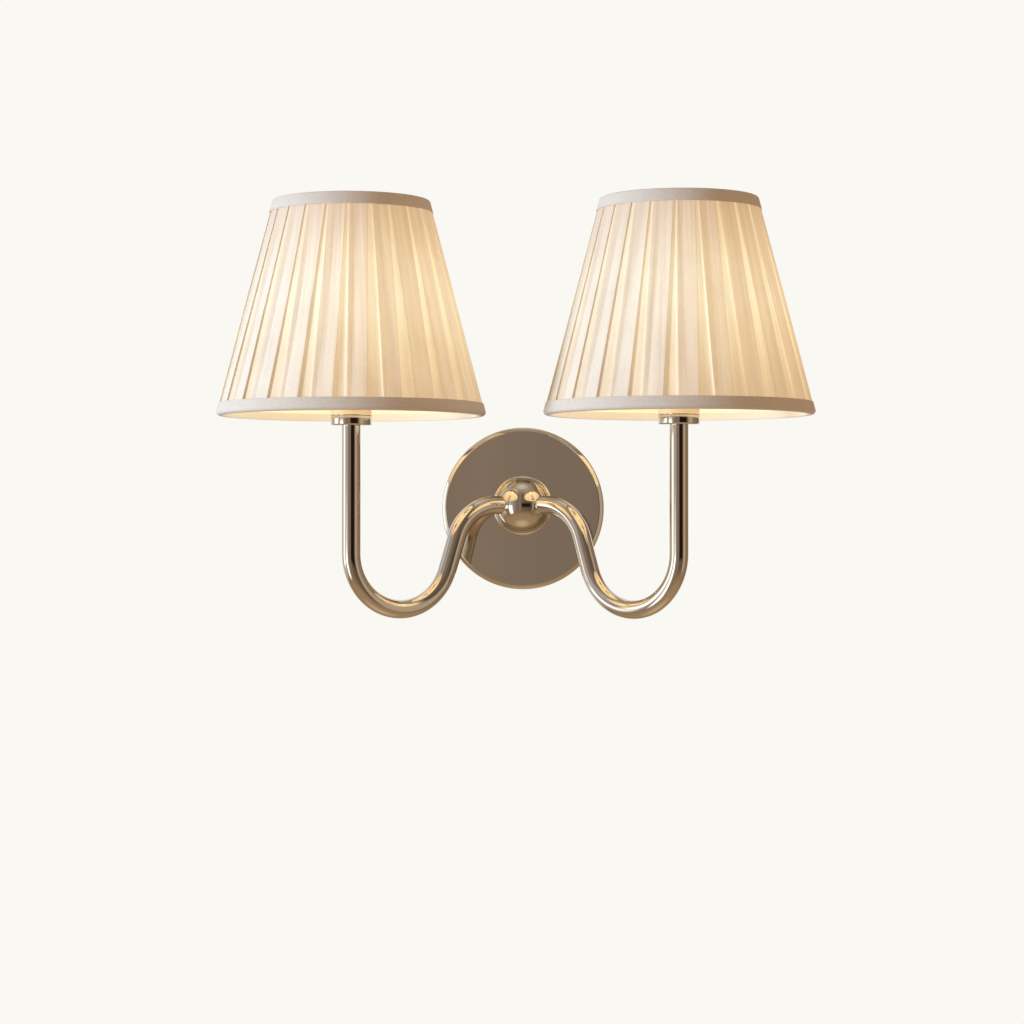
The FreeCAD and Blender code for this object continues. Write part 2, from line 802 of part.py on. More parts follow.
def lampholder(side):
    """Moulded holder body, screwed on the stem nipple, with its brass shell and centre contact."""
    outer, bore, floor, top = S.holder_dia / 2, S.holder_bore / 2, S.holder_floor, S.holder_top
    nipple, room, hole = S.nipple_dia / 2, S.wire_room / 2, S.wire_hole / 2
    corners = [
        (nipple, HOLDER_BASE),
        (outer, HOLDER_BASE),
        (outer, top - 1.5),
        (outer - 1.5, top),
        (bore, top),
        (bore, floor),
        (hole, floor),
        (hole, floor - 1.5),
        (room, floor - 1.5),
        (room, S.stem_nipple_top),
        (nipple, S.stem_nipple_top),
    ]
    lamp_place(side, turned(f"{side}_lampholder", corners), 0)
    shell, wall = S.shell_dia / 2, S.shell_wall
    shell_foot = S.contact_dia / 2 + 1.2
    shell_corners = [
        (shell_foot, floor),
        (shell, floor),
        (shell, S.shell_top),
        (shell - wall, S.shell_top),
        (shell - wall, floor + wall),
        (shell_foot, floor + wall),
    ]
    lamp_place(side, turned(f"{side}_screw_shell", shell_corners), 0)
    rim, high = S.contact_dia / 2, S.contact_height
    low, top = floor + high - 1, floor + high
    contact_corners = [(0, floor), (rim, floor), (rim, low), (rim - 1, top), (0, top)]
    lamp_place(side, turned(f"{side}_centre_contact", contact_corners, {2: (1, LEFT_TURN)}), 0)


def candle_sleeve(side):
    outer, wall, top = S.sleeve_dia / 2, S.sleeve_wall, S.sleeve_top
    inner = outer - wall
    corners = [(inner, CUP_TOP), (outer, CUP_TOP), (outer, top - 0.6), (outer - 0.6, top), (inner, top)]
    lamp_place(side, turned(f"{side}_candle_sleeve", corners, {2: (0.6, LEFT_TURN)}), 0)


def bulb_side(inset):
    """Corners and arcs of the candle glass from its neck to its tip, drawn in by inset."""
    belly = S.bulb_dia / 2
    neck = S.bulb_neck / 2
    neck_x, belly_x, flame_x = neck + S.neck_bend, belly - S.belly_bend, belly - S.flame_bend
    middle = S.belly_height
    both = S.neck_bend + S.belly_bend
    neck_y = middle - leg(both, neck_x - belly_x)
    apart = S.flame_bend - S.tip_bend
    tip_y = middle + leg(apart, -flame_x)
    waist_x = belly_x + (S.belly_bend - inset) * (neck_x - belly_x) / both
    waist_y = middle - (S.belly_bend - inset) * (middle - neck_y) / both
    shoulder_x = flame_x + (S.flame_bend - inset) * (-flame_x) / apart
    shoulder_y = middle + (S.flame_bend - inset) * (tip_y - middle) / apart
    corners = [
        (neck - inset, 0),
        (neck - inset, neck_y),
        (waist_x, waist_y),
        (belly - inset, middle),
        (shoulder_x, shoulder_y),
        (0, tip_y + S.tip_bend - inset),
    ]
    bends = [S.neck_bend + inset, S.belly_bend - inset, S.flame_bend - inset, S.tip_bend - inset]
    return corners, bends


def bulb(side):
    """Candle bulb: blown glass, screw cap, insulator and solder tip."""
    outer, outer_bends = bulb_side(size(0))
    inner, inner_bends = bulb_side(S.bulb_wall)
    corners = outer + inner[::-1]
    arcs = {}
    for n, turn in enumerate((RIGHT_TURN, LEFT_TURN, LEFT_TURN, LEFT_TURN)):
        arcs[n + 1] = (outer_bends[n], turn)
        arcs[9 - n] = (inner_bends[n], -turn)
    lamp_place(side, turned(f"{side}_bulb_glass", corners, arcs), S.cap_top)
    rim, wall, low = S.cap_dia / 2, S.cap_wall, -S.cap_length
    foot = S.tip_contact / 2 + 1
    cap_corners = [
        (rim - wall, 0),
        (rim - wall, low + 2),
        (rim - wall - 1.4, low + wall),
        (foot, low + wall),
        (foot, low),
        (rim - 1.4, low),
        (rim, low + 2),
        (rim, 0),
    ]
    lamp_place(side, turned(f"{side}_bulb_cap", cap_corners), S.cap_top)
    tip = S.tip_contact / 2
    insulator = [(tip, low - 2.2), (rim - 1.6, low), (foot, low), (foot, low + wall), (0, low + wall),
                 (0, low - 2.2)]
    lamp_place(side, turned(f"{side}_bulb_insulator", insulator[::-1]), S.cap_top)
    seat = low - 2.2
    contact = [(0, seat - S.tip_height), (tip - 0.8, seat - S.tip_height), (tip, seat), (0, seat)]
    lamp_place(side, turned(f"{side}_bulb_contact", contact), S.cap_top)


def shade_radius(height):
    """The shade's outer radius at a height above its bottom edge."""
    return S.shade_bottom_dia / 2 - SHADE_SLOPE * height


def shade_place(side, piece, x=0, y=0, z=0, turn=None):
    put(piece, SIDES[side] * LAMP_X + x, -LAMP_Y + y, S.shade_base + z, turn)


def shade_trim(side, end):
    """Folded binding: a band outside, rolled over the edge and tucked behind the wire ring."""
    edge, inward = (size(0), 1) if end == "bottom" else (S.shade_height, -1)

    def at(inset, up):
        height = edge + inward * size(up)
        return shade_radius(height) - inset, height

    thick = S.trim_thick
    roll = S.trim_bottom_roll if end == "bottom" else S.trim_top_roll
    corners = [
        at(0, S.trim_width),
        at(0, roll),
        at(roll, 0),
        at(S.trim_wrap, 0),
        at(S.trim_wrap, S.trim_tuck),
        at(S.trim_wrap - 0.5, S.trim_tuck),
        at(S.trim_wrap - 0.5, thick),
        at(roll, thick),
        at(thick, roll),
        at(thick, S.trim_width),
    ]
    # The band meets the edge at less than a right angle below and at more above
    bend = root(1 + SHADE_SLOPE * SHADE_SLOPE) - SHADE_SLOPE * inward
    turn = RIGHT_TURN if end == "bottom" else LEFT_TURN
    arcs = {1: (roll * bend, turn), 7: ((roll - thick) * bend, -turn)}
    piece = turned(f"{side}_shade_{end}_trim", corners, arcs)
    if end == "top":
        notch = sketch_on(piece, "XY_Plane", "spoke_notch")
        shift_sketch(notch, z=S.shade_height - S.trim_tuck - 1)
        near, far = shade_radius(edge) - S.trim_wrap - 1, shade_radius(edge) - S.trim_wrap + 2
        wide = S.spoke_wire / 2 + 0.3
        draw(notch, [(-wide, near), (wide, near), (wide, far), (-wide, far)])
        cut = pocket(piece, notch, S.trim_tuck - 0.8, backward=True)
        piece.Tip = cut
        notches = piece.newObject("PartDesign::PolarPattern", "notches")
        notches.Originals = [cut]
        notches.Axis = (notch, ["N_Axis"])
        notches.Angle = 360
        notches.setExpression("Occurrences", S.spoke_count.text)
        piece.Tip = notches
    shade_place(side, piece)


def shade_lining(side):
    """Thin translucent cone behind the pleats."""
    low, high = S.cover_edge, S.shade_height - S.cover_edge
    outer, inner = S.lining_outer, S.lining_outer + S.lining_thick
    around = ((inner, low), (outer, low), (outer, high), (inner, high))
    corners = [(shade_radius(z) - inset, z) for inset, z in around]
    shade_place(side, turned(f"{side}_shade_lining", corners))


def pleat_ring(height, width):
    """The cover's outer edge at a height: a flat pleat and a set-back gap, over and over."""
    outer = (shade_radius(height) - S.cover_inset).value
    gap = outer - S.pleat_fold.value
    pitch = 2 * math.pi / S.pleats.value
    half = math.asin(width / 2 / outer)
    points = []
    for n in range(int(S.pleats.value)):
        middle = n * pitch
        for radius, angle in ((gap, -half), (outer, -half), (outer, half), (gap, half)):
            x, y = radius * math.cos(middle + angle), radius * math.sin(middle + angle)
            points.append(Vector(x, y, height.value))
    return Part.makePolygon(points + points[:1])


def shade_cover(side):
    """Box-pleated cover: flat pleats that flare downwards, with the single cloth set back between."""
    low, high = S.cover_foot, S.shade_height - S.cover_edge
    rings = [pleat_ring(low, S.pleat_bottom.value), pleat_ring(high, S.pleat_top.value)]
    outside = Part.makeLoft(rings, True, True)
    radii = [(shade_radius(z) - S.cover_inner).value for z in (low, high)]
    inside = Part.makeCone(*radii, (high - low).value, Vector(0, 0, low.value))
    piece = DOC.addObject("Part::Feature", f"{side}_shade_cover")
    piece.Shape = outside.cut(inside)
    named(piece, f"{side}_shade_cover")
    shade_place(side, piece)


def wire_ring(side, name, radius, wire, height):
    ring = primitive("Part::Torus", name, Radius1=radius, Radius2=wire / 2)
    shade_place(side, ring, z=height)
    return ring


def shade_frame(side):
    """The bottom ring, and the top ring with its spokes down to the small ring over the bulb."""
    low = shade_radius(S.ring_height) - S.ring_inset
    bottom = wire_ring(side, f"{side}_shade_bottom_ring", low, S.ring_wire, S.ring_height)
    named(bottom, f"{side}_shade_bottom_ring")
    ring_z = S.shade_height - S.ring_height
    top = shade_radius(ring_z) - S.ring_inset
    wires = [
        wire_ring(side, "top_ring", top, S.ring_wire, ring_z),
        wire_ring(side, "hub_ring", S.hub_ring_dia / 2, S.spoke_wire, S.hub_ring_height),
    ]
    drop, inner = ring_z - S.hub_ring_height, S.hub_ring_dia / 2
    length = root((top - inner) * (top - inner) + drop * drop)
    lean = math.degrees(math.atan2((top - inner).value, drop.value))
    for n in range(int(S.spoke_count.value)):
        spoke = primitive("Part::Cylinder", "spoke", Radius=S.spoke_wire / 2, Height=length)
        angle = size(90 + n * 360 / S.spoke_count.value)
        around = Rotation(Vector(0, 0, 1), angle.value)
        tilt = Rotation(Vector(0, 1, 0), lean)
        shade_place(side, spoke, inner * cosine(angle), inner * sine(angle), S.hub_ring_height, around * tilt)
        wires.append(spoke)
    joined(f"{side}_shade_top_frame", wires)


def bulb_clip(side):
    """Two long wire loops that lean out from the small ring and grip the bulb between them."""
    out = S.clip_bottom_reach - S.clip_top_reach
    drop = S.clip_top - S.clip_bottom
    length = root(out * out + drop * drop).value
    half, wire = S.clip_half_width.value, S.clip_wire.value / 2
    straight = length / 2 - half
    loops = []
    for sign in (-1, 1):
        halves = []
        for way in (-1, 1):
            places = [(-half, 0), (-half, straight), (0, straight + half), (half, straight), (half, 0)]
            ends = [Vector(x, 0, way * z) for x, z in places]
            edges = [
                Part.LineSegment(ends[0], ends[1]).toShape(),
                Part.Arc(ends[1], ends[2], ends[3]).toShape(),
                Part.LineSegment(ends[3], ends[4]).toShape(),
            ]
            section = Part.Wire(Part.Circle(ends[0], Vector(0, 0, 1), wire).toShape())
            halves.append(Part.Wire(edges).makePipeShell([section], True, False))
        loop = halves[0].fuse(halves[1]).removeSplitter()
        lean = math.degrees(math.atan2(out.value, drop.value))
        tilt = Rotation(Vector(1, 0, 0), sign * lean)
        middle = (S.clip_top_reach + S.clip_bottom_reach).value / 2
        height = (S.clip_top + S.clip_bottom).value / 2
        loop.Placement = Placement(Vector(0, sign * middle, height), tilt)
        loops.append(loop)
    piece = DOC.addObject("Part::Feature", f"{side}_bulb_clip")
    piece.Shape = Part.makeCompound(loops)
    named(piece, f"{side}_bulb_clip")
    shade_place(side, piece)


def export():
    """Checks every object of the document, then writes each sub-part to its own file."""
    DOC.recompute()
    failed = [o.Label for o in DOC.Objects if "Invalid" in o.State or "Error" in o.State]
    empty = [p.Label for p in PARTS if p.Shape.isNull() or not p.Shape.isValid() or not p.Shape.Solids]
    if failed or empty:
        raise RuntimeError(f"failed: {failed}, without a valid solid: {empty}")
    os.makedirs("parts", exist_ok=True)
    for piece in PARTS:
        piece.Shape.exportStep(f"parts/{piece.Label}.step")
    print(len(PARTS), "sub-parts written")


back_plate()
hub_collar()
hub_ball()
hub_fixing()
wall_bracket()
plate_screws()
earth_terminal()
terminal_block()
for side_name in SIDES:
    arm_tube(side_name)
    arm_flex(side_name)
    stem_nipple(side_name)
    lamp_cup(side_name)
    lampholder(side_name)
    candle_sleeve(side_name)
    bulb(side_name)
    shade_frame(side_name)
    bulb_clip(side_name)
    shade_lining(side_name)
    shade_cover(side_name)
    for edge_name in ("bottom", "top"):
        shade_trim(side_name, edge_name)
export()
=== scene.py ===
"""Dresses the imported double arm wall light: polished nickel plate, hub and arms, and two lit candle
lamps under box-pleated shades. Metres, +Z up, the wall at Y = 0, the room at -Y."""

import json
from math import acos, asin, atan, atan2, cos, degrees, hypot, pi, radians, sin, sqrt, tan, tau

import bmesh
import bpy
from bpy.props import FloatProperty, IntProperty, PointerProperty, StringProperty
from bpy.types import NodeSocket, Operator, Panel, PropertyGroup
from mathutils import Matrix, Vector, noise

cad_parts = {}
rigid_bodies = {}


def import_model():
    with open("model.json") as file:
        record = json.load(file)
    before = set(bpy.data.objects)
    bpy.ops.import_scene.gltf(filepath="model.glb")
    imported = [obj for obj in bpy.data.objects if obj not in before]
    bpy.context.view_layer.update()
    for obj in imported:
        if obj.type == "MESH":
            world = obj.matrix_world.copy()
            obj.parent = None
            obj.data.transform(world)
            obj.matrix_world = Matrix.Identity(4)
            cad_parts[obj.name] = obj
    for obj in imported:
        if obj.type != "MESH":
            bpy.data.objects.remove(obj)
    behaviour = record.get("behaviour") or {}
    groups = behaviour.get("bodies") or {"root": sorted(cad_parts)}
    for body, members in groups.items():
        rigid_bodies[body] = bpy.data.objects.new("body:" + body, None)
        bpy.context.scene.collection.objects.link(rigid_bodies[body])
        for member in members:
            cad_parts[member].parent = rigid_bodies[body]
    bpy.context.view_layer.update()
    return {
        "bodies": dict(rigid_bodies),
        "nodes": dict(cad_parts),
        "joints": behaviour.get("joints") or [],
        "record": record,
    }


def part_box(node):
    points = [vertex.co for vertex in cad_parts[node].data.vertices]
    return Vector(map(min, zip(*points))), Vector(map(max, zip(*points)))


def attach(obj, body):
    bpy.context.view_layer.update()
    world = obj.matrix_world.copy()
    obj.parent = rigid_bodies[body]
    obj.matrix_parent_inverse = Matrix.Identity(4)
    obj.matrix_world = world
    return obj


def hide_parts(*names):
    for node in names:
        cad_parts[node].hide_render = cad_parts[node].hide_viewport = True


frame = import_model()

bl_info = {
    "name": "Double Arm Wall Light",
    "version": (1, 0, 0),
    "blender": (4, 5, 0),
    "location": "View3D > Sidebar > Wall Light",
    "description": "Builds a double arm wall light with pleated candle shades",
    "category": "Add Mesh",
}

MM = 0.001
SIDES = {"left": -1, "right": 1}
# Degrees that each shade's pleats lie turned from square, at the bottom and the top edge
PLEAT_TURN = {"left": (-5.1, -2.6), "right": (4.2, 4.3)}
# The weave is laid out at this radius, about midway between a shade's two edges
MIDDLE_RADIUS = 70 * MM
# Heights of the bulb's tip, and of where the lamp begins to show through the cloth, is brightest
# and has faded
BULB_TOP, GLOW_FOOT, BRIGHTEST, GLOW_TOP = 176 * MM, 50 * MM, 135 * MM, 205 * MM
OUT_OF_WALL = Matrix.Rotation(radians(90), 4, "X")


def lamp_axis(side):
    """The foot of a lamp's axis, from its bulb cap in the frame."""
    low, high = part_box(f"{side}_bulb_cap")
    return Vector(((low[0] + high[0]) / 2, (low[1] + high[1]) / 2, 0))


def length(name, millimetres, description):
    return FloatProperty(name=name, description=description, default=millimetres * MM, min=0, unit="LENGTH")


def colour(name, code, description):
    return StringProperty(name=name, description=description + ", as an sRGB hex value", default=code)


class PlateSizes(PropertyGroup):
    diameter: length("Diameter", 107.8, "Outside diameter of the wall plate")
    depth: length("Depth", 15, "From the wall to the plate's face")
    face: length("Face", 102.4, "Diameter of the flat face inside the bevel")
    wall: length("Thickness", 1.2, "Thickness of the spun sheet")
    roll: length("Edge roll", 2, "Radius of the rolled outer edge")
    collar: length("Collar", 39.6, "Diameter of the collar's foot")
    collar_height: length("Collar height", 4.8, "Height of the collar above the plate")
    ball: length("Ball", 34.6, "Diameter of the hub's ball")
    reach: length("Hub reach", 24, "From the wall to the ball's centre")
    rise: length("Hub rise", 2, "Hub axis above the plate's centre")


class ArmSizes(PropertyGroup):
    tube: length("Tube", 12, "Outside diameter of the arm tube")
    start: length("Start", 11.5, "From the ball's centre to the tube's hidden end")
    reach: length("Reach", 126.9606, "From the ball's centre to the lamp's axis")
    upper_bend: length("Upper bend", 30.5, "Radius of the bend by the ball")
    lower_bend: length("Lower bend", 36, "Radius of the bend under the lamp")
    slope_run: length("Slope run", 22.5, "Straight run between the bends")
    stem_top: length("Stem top", 52, "Height of the tube's upper end")
    slope: FloatProperty(name="Slope", description="Steepness between the bends",
                         default=radians(72), subtype="ANGLE", unit="ROTATION")
    swing: FloatProperty(name="Swing", description="Forward swing of each arm off the wall",
                         default=radians(35), subtype="ANGLE", unit="ROTATION")


class LampSizes(PropertyGroup):
    cup: length("Cup", 27, "Diameter of the cup's lip")
    cup_height: length("Cup height", 7, "Height of the cup, with the rim round the sleeve's foot")
    cup_rim: length("Cup rim", 2, "How deep the sleeve stands in the cup")
    sleeve: length("Sleeve", 26.4, "Diameter of the candle sleeve")
    sleeve_top: length("Sleeve top", 100, "Height of the sleeve's upper end")
    bulb: length("Bulb", 35, "Diameter of the bulb's belly")
    bulb_neck: length("Bulb neck", 13.8, "Diameter of the bulb's neck")
    cap_top: length("Cap top", 98, "Height of the glass's lower end")


class ShadeSizes(PropertyGroup):
    base: length("Base", 58, "Height of the shade's bottom edge")
    height: length("Height", 137, "Height of the shade")
    bottom: length("Bottom", 172.6, "Diameter of the bottom edge")
    top: length("Top", 100.2, "Diameter of the top edge")
    binding: length("Binding", 8, "Width of the bindings")
    pleat_bottom: length("Pleat bottom", 13.8, "Width of a pleat at the bottom")
    pleat_top: length("Pleat top", 12, "Width of a pleat at the top")
    fold_bottom: length("Fold bottom", 1.8, "Depth of a pleat over the cloth between, at the bottom")
    fold_top: length("Fold top", 0.7, "Depth of a pleat over the cloth between, at the top")
    frame_wire: length("Ring wire", 2.4, "Diameter of the ring wire")
    spoke_wire: length("Spoke wire", 2, "Diameter of the spoke wire")
    clip_wire: length("Clip wire", 1.6, "Diameter of the clip wire")
    pleats: IntProperty(name="Pleats", description="Number of box pleats", default=24, min=3)
    spokes: IntProperty(name="Spokes", description="Number of spokes in the top frame", default=3, min=2)


class Finishes(PropertyGroup):
    nickel: colour("Nickel", "#D4CCBF", "Polished nickel")
    cloth: colour("Cloth", "#E6E0D9", "Pleated cotton")
    binding: colour("Binding", "#DBD6D3", "Bias binding")
    lining: colour("Lining", "#F6EBD2", "Laminated lining")
    glow: colour("Glow", "#FFEECB", "Lamp light on the lining")
    ivory: colour("Sleeve", "#F1E2C4", "Moulded sleeve")
    opal: colour("Opal glass", "#FFF6E4", "Opal bulb glass")
    wire: colour("Frame wire", "#EDE8DE", "Powder coated wire")
    backdrop: colour("Backdrop", "#FAF8F2", "Floor and background")


class WallLight(PropertyGroup):
    plate: PointerProperty(type=PlateSizes)
    arm: PointerProperty(type=ArmSizes)
    lamp: PointerProperty(type=LampSizes)
    shade: PointerProperty(type=ShadeSizes)
    finish: PointerProperty(type=Finishes)


def light():
    return bpy.context.scene.wall_light


# Materials


def linear(code):
    """An sRGB hex value as linear red, green, blue and alpha."""
    parts = [int(code[n:n + 2], 16) / 255 for n in (1, 3, 5)]
    return [c / 12.92 if c <= 0.04045 else ((c + 0.055) / 1.055) ** 2.4 for c in parts] + [1.0]


def add_node(tree, kind, inputs=(), output=0, stops=(), **settings):
    """Adds a node with its settings and links, and gives back one of its outputs. An input is a
    value, or the socket that feeds it. Stops are a colour ramp's places and hex colours."""
    node = tree.nodes.new("ShaderNode" + kind)
    for name, value in settings.items():
        setattr(node, name, value)
    for name, value in inputs.items() if isinstance(inputs, dict) else enumerate(inputs):
        if isinstance(value, NodeSocket):
            tree.links.new(value, node.inputs[name])
        else:
            node.inputs[name].default_value = value
    if stops:
        elements = node.color_ramp.elements
        while len(elements) < len(stops):
            elements.new(1.0)
        for element, (position, code) in zip(elements, stops):
            element.position = position
            element.color = linear(code)
    return node.outputs[output] if node.outputs else None


def new_material(name, settings):
    """A Principled material. Returns it, its tree and its shader."""
    material = bpy.data.materials.new(name)
    material.use_nodes = True
    tree = material.node_tree
    shader = tree.nodes["Principled BSDF"]
    for socket, value in settings.items():
        shader.inputs[socket].default_value = value
    return material, tree, shader


def feed(tree, shader, sockets):
    """Links sockets to the shader's inputs of those names."""
    for name, socket in sockets.items():
        tree.links.new(socket, shader.inputs[name])


def object_noise(tree, size, detail=2.0, stretch=(1, 1, 1)):
    """Noise whose features are about size metres across, stretched along the object's axes."""
    coords = add_node(tree, "TexCoord", output="Object")
    place = add_node(tree, "Mapping", {"Vector": coords, "Scale": [1 / s for s in stretch]})
    return add_node(tree, "TexNoise", {"Vector": place, "Scale": 1 / size, "Detail": detail})


def even_finish(name, settings, mottle=None, colours=(), roughness=(), texture=None, depth=0.0):
    """A material that is alike all over. Its mottle blends two colours and two roughnesses, and its
    texture raises the surface by the depth. Both are what object_noise is given."""
    material, tree, shader = new_material(name, settings)
    share = object_noise(tree, *mottle) if mottle else None
    sockets = {}
    if colours:
        stops = list(zip((0.3, 0.7), colours))
        sockets["Base Color"] = add_node(tree, "ValToRGB", (share,), stops=stops)
    if roughness:
        sockets["Roughness"] = add_node(tree, "MapRange", (share, 0.3, 0.7, *roughness))
    if texture:
        height = object_noise(tree, *texture)
        sockets["Normal"] = add_node(tree, "Bump", {"Height": height, "Distance": depth})
    feed(tree, shader, sockets)
    return material


def polished_nickel():
    """Nickel plate on polished steel: a warm grey mirror with a very slight haze. Polishing leaves
    it wavy over about 12 mm, by a few thousandths of a millimetre."""
    settings = {"Base Color": linear(light().finish.nickel), "Metallic": 1.0}
    return even_finish("polished_nickel_plate", settings, mottle=(9 * MM, 3.0), roughness=(0.035, 0.075),
                       texture=(12 * MM, 1.0), depth=0.01 * MM)


def zinc_plated_steel():
    """Pressed steel, zinc plated and passivated: grey, a little blotchy, fine rolled grain."""
    return even_finish("zinc_plated_steel", {"Metallic": 1.0}, mottle=(6 * MM, 4.0),
                       colours=("#A9ABAC", "#C6C8C8"), roughness=(0.3, 0.45),
                       texture=(0.3 * MM, 2.0, (20, 1, 1)), depth=0.01 * MM)


def turned_brass():
    """Plain turned brass: yellow, with fine tool lines and a dull bloom."""
    return even_finish("turned_brass", {"Metallic": 1.0}, mottle=(4 * MM, 3.0),
                       colours=("#B99A55", "#D3B871"), roughness=(0.22, 0.36),
                       texture=(0.4 * MM, 1.0, (12, 12, 1)), depth=0.01 * MM)


def drawn_aluminium():
    """Drawn aluminium of the bulb's cap: pale, satin."""
    settings = {"Base Color": linear("#D2D2D0"), "Metallic": 1.0}
    return even_finish("drawn_aluminium", settings, mottle=(3 * MM, 3.0), roughness=(0.25, 0.4))


def tin_solder():
    """Tin solder, cast on the bulb's tip: bright grey and lumpy."""
    settings = {"Base Color": linear("#B9B9B6"), "Metallic": 1.0, "Roughness": 0.35}
    return even_finish("tin_solder", settings, texture=(1.2 * MM, 1.0), depth=0.15 * MM)


def moulded(name, code, darker, roughness, grain=0.5):
    """Injection moulded plastic or pressed ceramic: one colour, a faint mottle and a fine texture."""
    return even_finish(name, {"Roughness": roughness}, mottle=(5 * MM, 3.0), colours=(darker, code),
                       texture=(grain * MM, 2.0), depth=0.02 * MM)


def candle_ivory():
    """Glossy moulded ABS sleeve, ivory. The bulb's light from above and through its wall is painted on as a
    faint emission.
    """
    settings = {"Roughness": 0.16, "Coat Weight": 0.3, "Coat Roughness": 0.05,
                "Emission Color": linear("#FFC987"), "Emission Strength": 0.12}
    return even_finish("moulded_ivory_abs", settings, mottle=(8 * MM, 2.0),
                       colours=("#EBDAB9", light().finish.ivory))


def powder_coated_wire():
    """White epoxy powder over steel wire: satin, slightly pebbled."""
    settings = {"Base Color": linear(light().finish.wire), "Roughness": 0.38}
    return even_finish("powder_coated_wire", settings, texture=(0.8 * MM, 1.0), depth=0.03 * MM)


def opal_glass():
    """Opal glass lit from inside: even, warm white, brightest at the belly, glossy outside."""
    material, tree, shader = new_material("opal_glass", {
        "Base Color": linear(light().finish.opal), "Roughness": 0.12, "Emission Strength": 1.1,
    })
    coords = add_node(tree, "TexCoord", output="Object")
    height = add_node(tree, "SeparateXYZ", (coords,), "Z")
    along = add_node(tree, "MapRange", (height, light().lamp.cap_top, BULB_TOP))
    stops = [(0.0, "#E8A660"), (0.22, "#F8CF98"), (0.45, "#FFECCB"), (0.75, "#FBDDB0"), (1.0, "#F2C588")]
    feed(tree, shader, {"Emission Color": add_node(tree, "ValToRGB", (along,), stops=stops)})
    return material


def woven_height(tree):
    """Plain weave on the piece's own UV map, which is in metres: warp and weft pass over each other,
    and wander by a part of a thread. A 0.25 mm thread is too fine for the picture, so the weave is
    drawn at 0.6 mm."""
    spacing = 0.6 * MM
    wander, slack = 7 * spacing, 0.12
    uv = add_node(tree, "UVMap")
    loose = add_node(tree, "TexNoise", {"Vector": uv, "Scale": 1 / wander, "Detail": 1.0}, "Color")
    shift = add_node(tree, "VectorMath", {0: loose, "Scale": slack * wander}, operation="SCALE")
    moved = add_node(tree, "VectorMath", (uv, shift), operation="ADD")
    waves = []
    for axis in "XY":
        along = add_node(tree, "SeparateXYZ", (moved,), axis)
        turn = add_node(tree, "Math", (along, pi / spacing), operation="MULTIPLY")
        waves.append(add_node(tree, "Math", (turn,), operation="SINE"))
    return add_node(tree, "Math", waves, operation="MULTIPLY")


